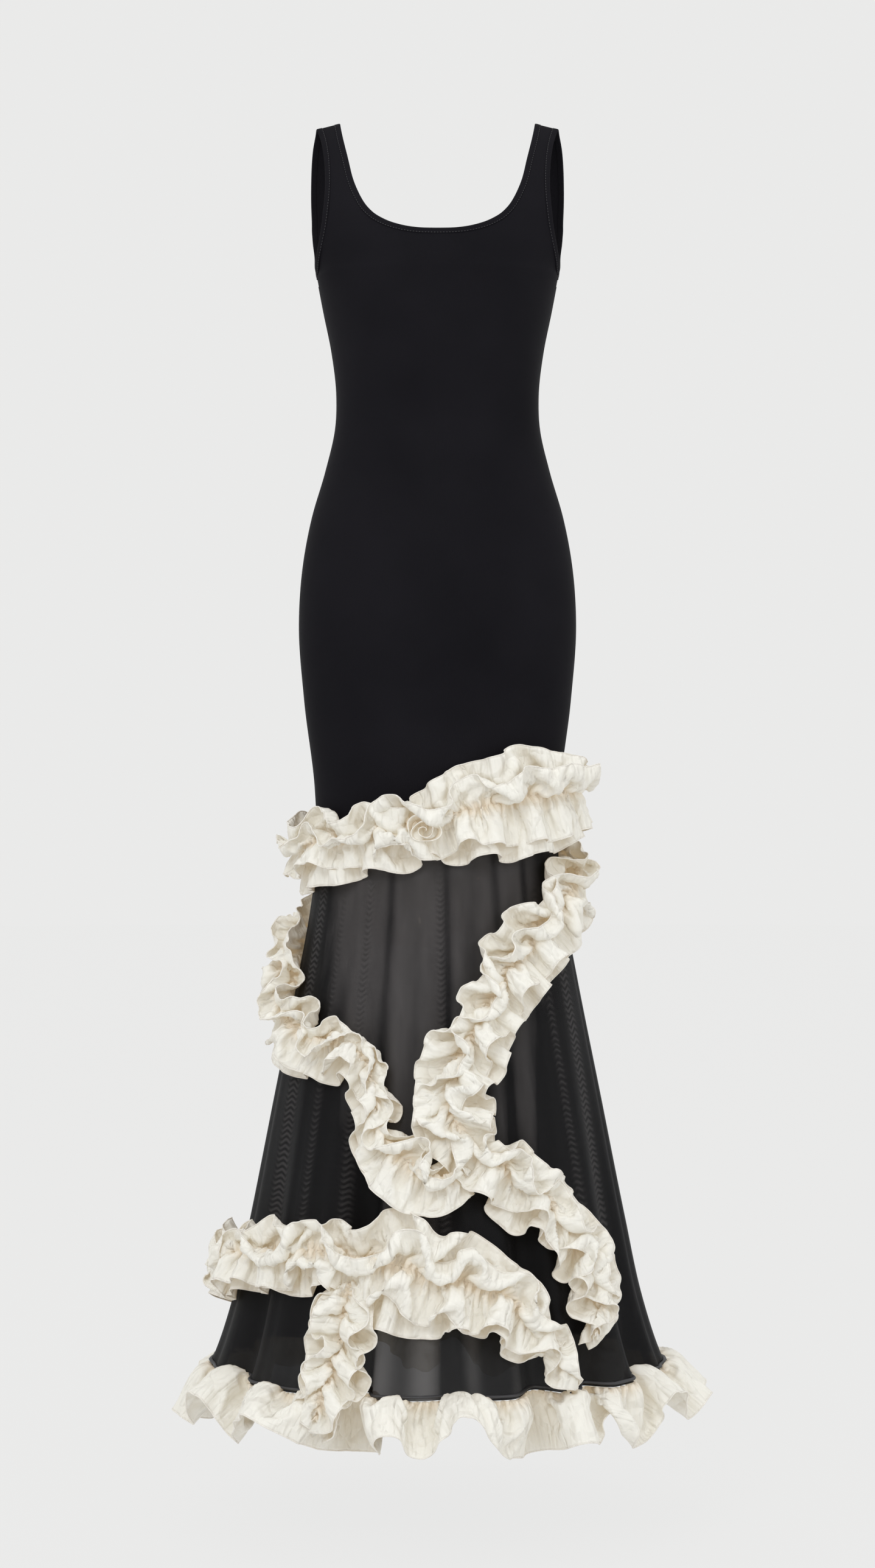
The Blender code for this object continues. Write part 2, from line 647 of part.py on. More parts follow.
def build():
    clear_scene()
    collection = bpy.data.collections.new("mermaid_dress")
    bpy.context.scene.collection.children.link(collection)
    jersey = material("black_jersey", BLACK_JERSEY)
    mesh = material("black_mesh", BLACK_MESH)
    cotton = material("cream_cotton", CREAM_COTTON)

    panels = [
        build_bodice("front_panel", "front", jersey, collection),
        build_bodice("back_panel", "back", jersey, collection),
        build_skirt("skirt_front", 0, FRONT_SKIRT_COLUMNS, mesh, collection),
        build_skirt("skirt_back", 180, BACK_SKIRT_COLUMNS, mesh, collection),
    ]
    build_binding("neck_binding", neck_loop(0, 1), neck_loop(0.15, 0.9), jersey, collection)
    for name, hand in (("armhole_binding_left", -1), ("armhole_binding_right", 1)):
        build_binding(name, armhole_loop(hand, 0), armhole_loop(hand, 0.1), jersey, collection)
    skin = panel_skin(panels)
    for layer in LAYERS:
        for front in (True, False):
            build_ring(layer, front, skin, cotton, collection)
        for strip in STRIPS:
            build_strip(strip, layer, skin, cotton, collection)
    for front in (True, False):
        build_hem(front, cotton, collection)


build()
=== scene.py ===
import math

import bmesh
import bpy
import numpy as np
from mathutils import Matrix, Vector


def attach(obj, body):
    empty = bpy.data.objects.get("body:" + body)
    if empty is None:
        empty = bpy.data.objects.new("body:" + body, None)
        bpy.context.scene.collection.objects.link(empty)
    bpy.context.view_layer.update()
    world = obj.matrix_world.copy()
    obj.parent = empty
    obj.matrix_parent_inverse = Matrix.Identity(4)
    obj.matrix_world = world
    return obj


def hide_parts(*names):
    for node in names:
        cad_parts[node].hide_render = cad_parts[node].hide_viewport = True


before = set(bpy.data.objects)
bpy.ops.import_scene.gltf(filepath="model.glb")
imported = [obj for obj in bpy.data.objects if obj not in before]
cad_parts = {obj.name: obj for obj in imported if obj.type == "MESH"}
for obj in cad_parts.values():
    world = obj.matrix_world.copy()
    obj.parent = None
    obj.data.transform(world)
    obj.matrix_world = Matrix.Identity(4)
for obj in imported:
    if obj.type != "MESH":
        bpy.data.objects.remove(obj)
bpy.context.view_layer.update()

# Lengths are in millimetres until a mesh is made. Angles run round the dress in degrees:
# 0 front centre, 90 the side at +X, 180 back centre. A drop is a level measured down from the shoulders.
mm = 0.001

levels = {
    "armhole": 178.0, "neckCorner": 110.0, "seam": 794.0, "seamTilt": 35.0, "hem": 1420.0,
    "shoulderSlope": 0.24, "neckAtShoulder": 118.3, "slopeFade": 49.0,
}

formTable = {
    "drop": [173, 215, 262, 311, 346, 398, 451, 503, 573, 661, 766, 836, 906, 976, 1116, 1256, 1340, 1390, 1430, 1520],
    "halfWidth": [139, 131, 121.5, 116, 117, 128.5, 144, 154, 159, 153, 140.5, 139, 147, 160, 188, 216, 234, 249, 264, 285],
    "front": [106, 110, 101, 87, 82, 87, 94, 98, 99, 97, 94, 96, 105, 120, 147, 176, 195, 209, 223, 244],
    "back": [88, 87, 80, 77, 82, 96, 107, 113, 114, 106, 97, 98, 108, 123, 151, 181, 200, 214, 228, 249],
}

yokeTable = {
    "drop": [178, 174.5, 164, 150, 127, 110, 80, 49, 24, 8, 1.5, 0],
    "halfWidth": [138.6, 139.5, 144, 150, 157, 160, 159, 154, 148, 143, 141.3, 141],
    "front": [106.3, 106, 103, 99, 90, 83.5, 72, 57, 39, 21, 9, 0],
    "back": [88, 88, 88, 87.5, 86, 83.5, 74.5, 60, 41, 22, 9.5, 0],
    "frontArm": [138.6, 136.8, 135, 131.5, 126.5, 124.3, 122, 123, 126.5, 130.3, 132.5, 133],
    "backArm": [138.6, 137.3, 138.4, 138.3, 140.5, 141, 141.8, 140.8, 138.5, 134.8, 133.5, 133],
    "frontNeck": [0, 0, 0, 0, 66, 85.5, 100, 107.7, 113.7, 117, 118, 118.3],
    "backNeck": [0, 0, 0, 0, 80, 91, 103, 108.7, 114.2, 117.2, 118, 118.3],
}
firstStrapRow = 5

scoopTable = {
    "out": [0, 0.25, 0.5, 0.75, 0.92, 1.0],
    "front": [142, 141.2, 137.2, 128.5, 118, 110],
    "back": [157, 155.5, 149.5, 138.5, 123.5, 110],
}

# Flare folds of the skirt: angle, depth at the hem, reach to either side in degrees, level where each starts
flareFolds = [
    (-62, 20, 11, 11, 1000), (-21, 58, 14, 6, 960), (4, 9, 9, 9, 1000), (27, 34, 9, 9, 980),
    (43, 26, 7, 7, 1240), (66, 20, 10, 10, 1000), (112, 24, 13, 13, 1000), (146, 34, 13, 13, 960),
    (181, 28, 13, 13, 980), (217, 36, 13, 13, 960), (250, 26, 13, 13, 1000),
]
foldGrowth = 1.5


def smoothAt(keys, values, at):
    keys, values = np.asarray(keys, float), np.asarray(values, float)
    slopes = np.gradient(values, keys)
    at = np.clip(np.asarray(at, float), keys[0], keys[-1])
    i = np.clip(np.searchsorted(keys, at, side="right") - 1, 0, len(keys) - 2)
    span = keys[i + 1] - keys[i]
    t = (at - keys[i]) / span
    return (
        (2 * t**3 - 3 * t**2 + 1) * values[i] + (t**3 - 2 * t**2 + t) * span * slopes[i]
        + (3 * t**2 - 2 * t**3) * values[i + 1] + (t**3 - t**2) * span * slopes[i + 1]
    )


fineDrops = np.linspace(formTable["drop"][0], formTable["drop"][-1], 1600)
fineForm = {name: smoothAt(formTable["drop"], formTable[name], fineDrops) for name in ("halfWidth", "front", "back")}


def formSize(name, drop):
    return np.interp(drop, fineDrops, fineForm[name])


def seamDrop(angle):
    return levels["seam"] - levels["seamTilt"] * np.sin(np.radians(angle))


def unit(vectors):
    return vectors / np.maximum(np.linalg.norm(vectors, axis=-1, keepdims=True), 1e-9)


def distances(line):
    # how far along a line each of its points lies
    return np.concatenate([[0], np.cumsum(np.linalg.norm(np.diff(line, axis=0), axis=1))])


def smoothed(values, kernel, mode="edge"):
    return np.convolve(np.pad(values, len(kernel) // 2, mode), kernel, "valid")


def formPoint(angle, drop):
    angle, drop = np.broadcast_arrays(np.asarray(angle, float), np.asarray(drop, float))
    around = np.radians(angle)
    depth = np.where(np.cos(around) > 0, formSize("front", drop), formSize("back", drop))
    return np.stack([formSize("halfWidth", drop) * np.sin(around), -depth * np.cos(around), -drop], axis=-1)


def formFrame(angle, drop):
    # unit vectors round, down and out, and the lengths of one degree and of one millimetre of drop
    step = 1.5
    roundIt = (formPoint(np.add(angle, step), drop) - formPoint(np.subtract(angle, step), drop)) / (2 * step)
    down = (formPoint(angle, np.add(drop, step)) - formPoint(angle, np.subtract(drop, step))) / (2 * step)
    degree = np.linalg.norm(roundIt, axis=-1, keepdims=True)
    fall = np.linalg.norm(down, axis=-1, keepdims=True)
    out = unit(np.cross(down / fall, roundIt / degree))
    return roundIt / degree, down / fall, out, degree[..., 0], fall[..., 0]


def foldDepth(angle, drop):
    depth = np.zeros(np.broadcast(angle, drop).shape)
    for foldAngle, foldDeep, before, after, start in flareFolds:
        away = (np.asarray(angle, float) - foldAngle + 180) % 360 - 180
        share = np.clip(np.abs(away) / np.where(away < 0, before, after), 0, 1)
        grown = np.clip((drop - start) / (levels["hem"] - start), 0, 1.05) ** foldGrowth
        depth = depth + foldDeep * grown * (0.5 + 0.5 * np.cos(math.pi * share))
    return depth


softFolds = {"count": 30, "depth": 4.2, "reach": (2.2, 6.0), "seed": 9}


def softFoldDepth(angle, drop):
    # narrow soft folds that the sheer skirt hangs in, all pressed inward from the form
    random = np.random.default_rng(softFolds["seed"])
    depth = np.zeros(np.broadcast(angle, drop).shape)
    for i in range(softFolds["count"]):
        centre = i * 360 / softFolds["count"] + random.uniform(-4, 4)
        reach = random.uniform(*softFolds["reach"])
        deep = softFolds["depth"] * random.uniform(0.35, 1.0)
        start = random.uniform(800, 900)
        lean = random.uniform(-1.6, 1.6)
        away = (np.asarray(angle, float) - centre - lean * (drop - 900) / 500 + 180) % 360 - 180
        grown = np.clip((drop - start) / 420, 0, 1) ** 1.2
        depth = depth + deep * grown * np.exp(-((away / reach) ** 2))
    return depth


def hemRise(angle, drop):
    # a fold that draws the hem in also lifts it
    near = np.clip((np.asarray(drop, float) - 1250) / (levels["hem"] - 1250), 0, 1) ** 2
    return near * np.minimum(foldDepth(angle, levels["hem"]) * 0.36, 14)


def skirtPoint(angle, drop, lift=0.0, soft=1.0):
    drop = drop - hemRise(angle, drop)
    out = formFrame(angle, drop)[2]
    sunk = np.asarray(lift) - foldDepth(angle, drop) - soft * softFoldDepth(angle, drop)
    return formPoint(angle, drop) + out * np.asarray(sunk)[..., None]


def yokeValue(name, row):
    return smoothAt(range(len(yokeTable["drop"])), yokeTable[name], row)


def yokePoint(x, row, drop, side):
    halfWidth, depth = yokeValue("halfWidth", row), yokeValue(side, row)
    past = np.maximum(np.abs(x) - levels["neckAtShoulder"], 0)
    sink = levels["shoulderSlope"] * past * np.clip(1 - drop / levels["slopeFade"], 0, 1)
    y = depth * np.sqrt(np.clip(1 - (x / halfWidth) ** 2, 0, 1)) + 0.1
    return np.stack([x, -y if side == "front" else y, -drop - sink], axis=-1)


cornerShare = 0.625


def yokeAtDrop(name, drop):
    # below the straps the yoke's table is read by level, which keeps the chest free of ridges
    drops = yokeTable["drop"][:7]
    return smoothAt([-d for d in drops], yokeTable[name][:7], -np.asarray(drop, float))


def yokePanelPoint(across, up, side):
    corner = yokeValue(side + "Neck", firstStrapRow)
    arm = yokeValue(side + "Arm", firstStrapRow)
    share = np.abs(across)
    toCorner = np.clip(share / cornerShare, 0, 1)
    pastCorner = np.clip((share - cornerShare) / (1 - cornerShare), 0, 1)
    topX = np.where(share <= cornerShare, corner * toCorner, corner + (arm - corner) * pastCorner)
    scoop = smoothAt(scoopTable["out"], scoopTable[side], toCorner)
    topDrop = np.where(share <= cornerShare, scoop, levels["neckCorner"])
    drop = levels["armhole"] + (topDrop - levels["armhole"]) * up
    footWidth = yokeValue("halfWidth", 0)
    edgeDrop = levels["armhole"] + (levels["neckCorner"] - levels["armhole"]) * up
    curve = yokeAtDrop(side + "Arm", edgeDrop) - (footWidth + (arm - footWidth) * up)
    footX = footWidth * np.sin(share * math.pi / 2)
    x = np.sign(across) * (footX + (topX - footX) * up + curve * share**6)
    y = yokeAtDrop(side, drop) * np.sqrt(np.clip(1 - (x / yokeAtDrop("halfWidth", drop)) ** 2, 0, 1)) + 0.1
    return np.stack([x, -y if side == "front" else y, -drop], axis=-1)


def strapPoint(across, up, side, hand):
    row = firstStrapRow + up * (len(yokeTable["drop"]) - 1 - firstStrapRow)
    neck, arm = yokeValue(side + "Neck", row), yokeValue(side + "Arm", row)
    return yokePoint(hand * (neck + (arm - neck) * across), row, np.maximum(yokeValue("drop", row), 0), side)


def rework(mesh, work):
    # puts a mesh through one bmesh operator
    bm = bmesh.new()
    bm.from_mesh(mesh)
    work(bm)
    bm.to_mesh(mesh)
    bm.free()


def faceOutward(bm):
    bmesh.ops.recalc_face_normals(bm, faces=bm.faces)


def closeEnds(bm):
    bmesh.ops.holes_fill(bm, edges=[edge for edge in bm.edges if edge.is_boundary], sides=0)


def pointValues(mesh, name, values):
    made = mesh.attributes.new(name, "FLOAT", "POINT")
    made.data.foreach_set("value", np.ravel(values).astype(np.float32))


def gridMesh(name, table, uv=None, weld=False):
    # a grid whose points come from a table of rows by steps, with the cloth's own measures as its UV map
    rows, steps = table.shape[0], table.shape[1]
    bm = bmesh.new()
    bmesh.ops.create_grid(bm, x_segments=steps - 1, y_segments=rows - 1, size=1.0)
    mesh = bpy.data.meshes.new(name)
    bm.to_mesh(mesh)
    bm.free()
    flat = np.zeros(len(mesh.vertices) * 3)
    mesh.vertices.foreach_get("co", flat)
    flat = flat.reshape(-1, 3)
    step = np.rint((flat[:, 0] + 1) / 2 * (steps - 1)).astype(int)
    row = np.rint((flat[:, 1] + 1) / 2 * (rows - 1)).astype(int)
    mesh.vertices.foreach_set("co", (table[row, step] * mm).ravel())
    if uv is not None:
        corners = np.zeros(len(mesh.loops), int)
        mesh.loops.foreach_get("vertex_index", corners)
        layer = mesh.uv_layers.new(name="cloth")
        layer.data.foreach_set("uv", (uv[row, step][corners] * mm).ravel())
    mesh.update()
    if weld:
        rework(mesh, lambda bm: bmesh.ops.remove_doubles(bm, verts=bm.verts, dist=0.03 * mm))
    return mesh


def addPiece(mesh, material, replaced=(), wall=None, side=-1):
    obj = bpy.data.objects.new(mesh.name, mesh)
    bpy.context.scene.collection.objects.link(obj)
    mesh.materials.append(material)
    mesh.shade_smooth()
    if wall:
        thicken = obj.modifiers.new("wall", "SOLIDIFY")
        thicken.thickness = wall * mm
        thicken.offset = side
        thicken.use_even_offset = False
    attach(obj, "root")
    if replaced:
        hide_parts(*replaced)
    return obj


def joined(name, meshes):
    bm = bmesh.new()
    for mesh in meshes:
        bm.from_mesh(mesh)
    bmesh.ops.remove_doubles(bm, verts=bm.verts, dist=0.05 * mm)
    whole = bpy.data.meshes.new(name)
    bm.to_mesh(whole)
    bm.free()
    for mesh in meshes:
        bpy.data.meshes.remove(mesh)
    return whole


def measured(table):
    # distances along the middle row and up the middle column of a table, as a UV map in millimetres
    across = np.linalg.norm(np.diff(table, axis=1), axis=2)
    along = np.linalg.norm(np.diff(table, axis=0), axis=2)
    u = np.concatenate([[0], np.cumsum(across.mean(0))])
    v = np.concatenate([[0], np.cumsum(along.mean(1))])
    return np.stack(np.meshgrid(u, v), axis=-1)


class Tone:
    # one socket, with the operators that a shader expression needs
    def __init__(self, tree, socket):
        self.tree, self.socket = tree, socket

    def maths(self, operation, other=None, clamp=False):
        made = self.tree.nodes.new("ShaderNodeMath")
        made.operation, made.use_clamp = operation, clamp
        for place, value in enumerate((self, other)):
            if isinstance(value, Tone):
                self.tree.links.new(value.socket, made.inputs[place])
            elif value is not None:
                made.inputs[place].default_value = value
        return Tone(self.tree, made.outputs[0])

    def __add__(self, other): return self.maths("ADD", other)
    def __radd__(self, other): return self.maths("ADD", other)
    def __sub__(self, other): return self.maths("SUBTRACT", other)
    def __rsub__(self, other): return (self * -1).maths("ADD", other)
    def __mul__(self, other): return self.maths("MULTIPLY", other)
    def __rmul__(self, other): return self.maths("MULTIPLY", other)
    def __truediv__(self, other): return self.maths("DIVIDE", other)
    def sine(self): return self.maths("SINE")
    def size(self): return self.maths("ABSOLUTE")
    def held(self): return self.maths("ADD", 0.0, clamp=True)


class Finish:
    # one material's nodes, made one at a time
    def __init__(self, name):
        self.material = bpy.data.materials.new(name)
        self.material.use_nodes = True
        self.tree = self.material.node_tree
        self.tree.nodes.clear()

    def node(self, kind, settings=None, inputs=None, output=0):
        made = self.tree.nodes.new(kind)
        for key, value in (settings or {}).items():
            setattr(made, key, value)
        for key, value in (inputs or {}).items():
            if isinstance(value, Tone):
                self.tree.links.new(value.socket, made.inputs[key])
            else:
                made.inputs[key].default_value = value
        return Tone(self.tree, made.outputs[output] if len(made.outputs) else None)

    def blend(self, factor, one, two):
        return self.node("ShaderNodeMix", {"data_type": "RGBA"}, {0: factor, 6: one, 7: two}, output=2)

    def clothUv(self):
        parts = self.node("ShaderNodeSeparateXYZ", None, {0: self.node("ShaderNodeUVMap", {"uv_map": "cloth"})})
        return [Tone(self.tree, parts.socket.node.outputs[i]) for i in range(2)]

    def place(self):
        return self.node("ShaderNodeTexCoord", output="Object")

    def stretched(self, source, scale):
        return self.node("ShaderNodeMapping", None, {"Vector": source, "Scale": scale})

    def value(self, name):
        return self.node("ShaderNodeAttribute", {"attribute_name": name}, output=2)

    def noise(self, scale, detail=3.0, vector=None, roughness=0.5, output=0):
        inputs = {"Scale": scale, "Detail": detail, "Roughness": roughness, "Vector": vector or self.place()}
        return self.node("ShaderNodeTexNoise", None, inputs, output)

    def bump(self, height, distance, strength=1.0, under=None):
        inputs = {"Height": height, "Distance": distance, "Strength": strength}
        if under:
            inputs["Normal"] = under
        return self.node("ShaderNodeBump", None, inputs)

    def surface(self, **inputs):
        named = {key.replace("_", " "): value for key, value in inputs.items()}
        shader = self.node("ShaderNodeBsdfPrincipled", None, named)
        self.node("ShaderNodeOutputMaterial", None, {"Surface": shader})
        return self.material


# the second, lighter jersey colour is painted sheen
jerseyCloth = {
    "colour": (0.0060, 0.0057, 0.0075, 1), "worn": (0.0132, 0.0124, 0.0156, 1), "ribPitch": 0.9, "roughness": 0.66,
}


def jerseyFinish():
    made = Finish("black jersey")
    across, along = made.clothUv()
    pitch = jerseyCloth["ribPitch"] * mm
    rib = (across * (2 * math.pi / pitch)).sine()
    loop = (along * (2 * math.pi / (pitch * 0.8)) + rib * 0.9).sine()
    knit = rib * 0.6 + loop * 0.4
    # the lighter colour is painted sheen in soft patches scattered by a large noise, with the knit and a fine grain
    # mixed in
    cloud = made.noise(6.0, 3.0)
    grain = made.noise(900.0, 2.0)
    sheenAndKnit = (cloud * 1.3 + grain * 0.25 + knit * 0.08 - 0.42).held()
    colour = made.blend(sheenAndKnit, jerseyCloth["colour"], jerseyCloth["worn"])
    rough = cloud * 0.12 + grain * 0.06 + (jerseyCloth["roughness"] - 0.09)
    fine = made.bump(knit, 0.00012, 0.5)
    normal = made.bump(grain, 0.00010, 0.35, fine)
    return made.surface(Base_Color=colour, Roughness=rough, Normal=normal, Specular_IOR_Level=0.035,
                        Sheen_Weight=0.003, Sheen_Roughness=0.4)


meshCloth = {"colour": (0.004, 0.0039, 0.0046, 1), "bright": (0.082, 0.077, 0.077, 1), "cover": 0.72, "pitch": 1.5}


def meshFinish():
    made = Finish("black mesh")
    across, along = made.clothUv()
    pitch = meshCloth["pitch"] * mm
    drift = made.noise(3.5, 2.0)
    shadeAndDoubling = made.value("shadeAndDoubling")
    one = ((across + along) * (2 * math.pi / pitch)).sine()
    two = ((across - along) * (2 * math.pi / pitch)).sine()
    holes = (one * two).size()
    tall = made.stretched(made.place(), (1.0, 1.0, 0.06))
    streaks = made.noise(55.0, 2.0, tall) * 0.65 + made.noise(170.0, 2.0, tall) * 0.35
    cover = drift * 0.08 + streaks * 0.08 + shadeAndDoubling * 0.16 - holes * 0.08 + (meshCloth["cover"] - 0.05)
    moire = made.value("moire")
    wobble = made.noise(26.0, 1.0)
    ripple = (along * (2 * math.pi / 0.0068) + (across * 420.0).sine() * 1.6 + wobble * 9.0).sine()
    # the tone is darkened by painted shade in the folds and at the sides, so the middle of each panel shows lighter
    tone = (streaks * 0.75 + drift * 0.3 + 0.30 - shadeAndDoubling * 0.9).held() * (1.0 - moire * 0.6)
    tone = (tone + (ripple * 0.3 + 0.34) * moire).held()
    colour = made.blend(tone, meshCloth["colour"], meshCloth["bright"])
    normal = made.bump(holes, 0.0002, 0.4)
    return made.surface(Base_Color=colour, Roughness=streaks * 0.1 + 0.55, Alpha=cover.held(), Normal=normal,
                        Specular_IOR_Level=0.14, Sheen_Weight=0.02)


cottonCloth = {
    "colour": (0.735, 0.755, 0.728, 1), "shade": (0.72, 0.635, 0.51, 1), "edge": (0.85, 0.86, 0.83, 1),
    "pitch": 0.55, "gatherShadeReach": 10.0, "roughness": 0.5,
    "glow": (0.84, 0.60, 0.34, 1), "glowStrength": 0.145,
}


def cottonFinish():
    made = Finish("cream cotton")
    along, across = made.clothUv()
    gathered = made.value("gather")
    rim = made.value("rim")
    pitch = cottonCloth["pitch"] * mm
    warp = (along * (2 * math.pi / pitch)).sine()
    weft = (across * (2 * math.pi / pitch)).sine()
    weave = warp * weft
    cloud = made.noise(24.0, 4.0)
    slub = made.noise(420.0, 2.0, made.stretched(made.place(), (1.0, 1.0, 0.25)))
    lines = made.stretched(made.node("ShaderNodeUVMap", {"uv_map": "cloth"}), (1.0, 0.16, 1.0))
    pressed = (made.noise(85.0, 1.0, lines) - 0.5).size() * 2.4
    # painted shade: the cloth is warmer and darker near the gather line, mottled a little by noise
    shade = (gathered * 0.65 + cloud * 0.12 - 0.05).held()
    body = made.blend(shade, cottonCloth["colour"], cottonCloth["shade"])
    # the edge colour on rims and rolled hems is partly the thread's own whiter tone and partly a painted highlight
    # along the roll
    colour = made.blend(rim, body, cottonCloth["edge"])
    rough = cloud * 0.1 + slub * 0.08 + (cottonCloth["roughness"] - 0.09)
    thread = ((along * (2 * math.pi / 0.0011)).sine() * rim).size()
    fine = made.bump(weave + slub * 1.2, 0.00009, 0.5)
    ironed = made.bump(pressed.held(), 0.0065, 0.55, fine)
    soft = made.bump(made.noise(45.0, 2.0), 0.0034, 0.25, ironed)
    sway = made.node("ShaderNodeVectorMath", {"operation": "SCALE"}, {0: made.noise(38.0, 2.0, output=1), "Scale": 0.022})
    bent = made.node("ShaderNodeVectorMath", {"operation": "ADD"}, {0: made.place(), 1: sway})
    cells = made.node("ShaderNodeTexVoronoi", {"feature": "DISTANCE_TO_EDGE"}, {"Vector": bent, "Scale": 34.0})
    crease = made.bump((cells * 4.0).held(), 0.0036, 0.5, soft)
    normal = made.bump(thread, 0.0003, 0.6, crease)
    return made.surface(Base_Color=colour, Roughness=rough, Normal=normal, Specular_IOR_Level=0.3,
                        Sheen_Weight=0.08, Sheen_Roughness=0.4, Emission_Color=cottonCloth["glow"],
                        Emission_Strength=cottonCloth["glowStrength"])


def threadFinish(name, dark, light):
    made = Finish(name)
    twist = made.noise(1400.0, 2.0)
    colour = made.blend(twist, dark, light)
    return made.surface(Base_Color=colour, Roughness=twist * 0.1 + 0.5, Normal=made.bump(twist, 0.0001, 0.5))


def overlockFinish():
    made = Finish("overlocked edge")
    across, along = made.clothUv()
    ladder = ((along * (2 * math.pi / 0.0021)) + (across * 900.0).sine() * 1.1).sine()
    cover = ladder * 0.22 + 0.62
    colour = made.blend((ladder * 0.5 + 0.5).held(), (0.01, 0.01, 0.011, 1), (0.42, 0.41, 0.42, 1))
    return made.surface(Base_Color=colour, Roughness=ladder * 0.05 + 0.6, Alpha=cover.held(),
                        Normal=made.bump(ladder, 0.0004, 0.6), Specular_IOR_Level=0.2)


jersey, sheer, cotton = jerseyFinish(), meshFinish(), cottonFinish()
blackThread = threadFinish("black thread", (0.016, 0.016, 0.018, 1), (0.055, 0.055, 0.060, 1))
creamThread = threadFinish("cream thread", (0.62, 0.50, 0.38, 1), (0.82, 0.74, 0.64, 1))
overlock = overlockFinish()
print("materials made")


body = {"columns": 80, "rows": 120, "yokeRows": 22, "strapColumns": 15, "strapRows": 30, "wall": 1.0,
        "flat": (0.45, 0.79), "area": 0.235}


def buildBody(side):
    middle, turn = (0, 1) if side == "front" else (180, -1)
    u, v = np.meshgrid(np.linspace(-1, 1, body["columns"] + 1), np.linspace(0, 1, body["rows"] + 1))
    foot = seamDrop(middle + 90 * u) + 1.0
    torso = formPoint(middle + 90 * u, foot + (levels["armhole"] - foot) * v)
    yu, yv = np.meshgrid(turn * np.linspace(-1, 1, body["columns"] + 1), np.linspace(0, 1, body["yokeRows"] + 1))
    yoke = yokePanelPoint(yu, yv, side)
    whole = np.concatenate([torso, yoke[1:]])
    join, reach = len(torso) - 1, 9
    for _ in range(14):  # the yoke runs on from the torso without a ridge
        near = whole[join - reach - 1:join + reach + 2]
        sides = near[:-2, 1:-1, 1] + near[2:, 1:-1, 1]
        whole[join - reach:join + reach + 1, 1:-1, 1] = 0.5 * near[1:-1, 1:-1, 1] + 0.25 * sides
    meshes = [gridMesh("torso", whole, measured(whole))]
    for hand in (-1, 1):
        su, sv = np.meshgrid(np.linspace(0, 1, body["strapColumns"] + 1), np.linspace(0, 1, body["strapRows"] + 1))
        strap = strapPoint(1 - su if hand * turn < 0 else su, sv, side, hand)
        meshes.append(gridMesh("strap", strap, measured(strap)))
    mesh = joined("jersey_" + side, meshes)
    obj = addPiece(mesh, jersey, [side + "_panel"], wall=body["wall"])


for side in ("front", "back"):
    buildBody(side)


binding = {"width": 6.5, "thick": 1.35, "rows": 14, "stitchPitch": 3.4, "stitchLength": 2.3, "stitchAt": 0.3}


def strapEdge(side, hand, across):
    up = np.linspace(0, 1, 25)[1:-1]
    return strapPoint(np.full_like(up, across), up, side, hand)


def shoulderPoint(hand, across):
    ends = [strapPoint(np.array([across]), np.array([1.0]), side, hand) for side in ("front", "back")]
    return (ends[0] + ends[1]) / 2


def neckLoop(across, up):
    shares = np.linspace(-1, 1, 49) * cornerShare
    halves = []
    for side in ("front", "back"):
        scoop = yokePanelPoint(shares, np.full_like(shares, up), side)
        halves.append(np.concatenate([strapEdge(side, -1, across)[::-1], scoop, strapEdge(side, 1, across)]))
    return np.concatenate([halves[0], shoulderPoint(1, across), halves[1][::-1], shoulderPoint(-1, across)])


def armholeLoop(hand, inset):
    up = np.linspace(0, 1, 16)[1:]
    halves = []
    for side in ("front", "back"):
        yoke = yokePanelPoint(np.full_like(up, hand * (1 - inset)), up, side)
        halves.append(np.concatenate([yoke, strapEdge(side, hand, 1 - inset)]))
    foot = formPoint(np.array([hand * 90.0]), np.array([levels["armhole"] + inset * 50]))
    return np.concatenate([foot, halves[0], shoulderPoint(hand, 1 - inset), halves[1][::-1]])


def evenLoop(loop, count, rounds=3):
    closed = np.concatenate([loop, loop[:1]])
    length = distances(closed)
    at = np.linspace(0, length[-1], count + 1)[:-1]
    made = np.stack([np.interp(at, length, closed[:, k]) for k in range(3)], axis=-1)
    for _ in range(rounds):
        made = 0.5 * made + 0.25 * (np.roll(made, 1, axis=0) + np.roll(made, -1, axis=0))
    return made


def loopDirections(edge, inner):
    along = unit(np.roll(edge, -1, axis=0) - np.roll(edge, 1, axis=0))
    nearest = inner[np.argmin(np.linalg.norm(edge[:, None] - inner[None], axis=2), axis=1)]
    beyond = edge - nearest
    beyond = unit(beyond - along * np.einsum("ij,ij->i", beyond, along)[:, None])
    for _ in range(6):
        beyond = unit(0.5 * beyond + 0.25 * (np.roll(beyond, 1, axis=0) + np.roll(beyond, -1, axis=0)))
    out = np.cross(beyond, along)
    away = edge - np.array([0, 0, -levels["armhole"]])
    out = out * np.sign(np.einsum("ij,ij->i", out, away))[:, None]
    return along, beyond, out


def addStitches(name, line, along, out, pitch, length, thick, material):
    # each stitch is one short thread with rounded ends, lying along the line
    gone = distances(line)
    bm = bmesh.new()
    for at in np.arange(pitch / 2, gone[-1], pitch):
        i = min(int(np.searchsorted(gone, at)), len(line) - 1)
        share = (at - gone[i - 1]) / max(gone[i] - gone[i - 1], 1e-6)
        place = line[i - 1] + (line[i] - line[i - 1]) * share
        ahead, up = Vector(along[i]), Vector(out[i])
        across = ahead.cross(up).normalized()
        turn = Matrix((ahead * length / 2, across * thick, up * thick * 0.8)).transposed() * mm
        bmesh.ops.create_uvsphere(bm, u_segments=6, v_segments=4, radius=1.0,
                                  matrix=Matrix.Translation(Vector(place) * mm) @ turn.to_4x4())
    mesh = bpy.data.meshes.new(name)
    faceOutward(bm)
    bm.to_mesh(mesh)
    bm.free()
    return addPiece(mesh, material)


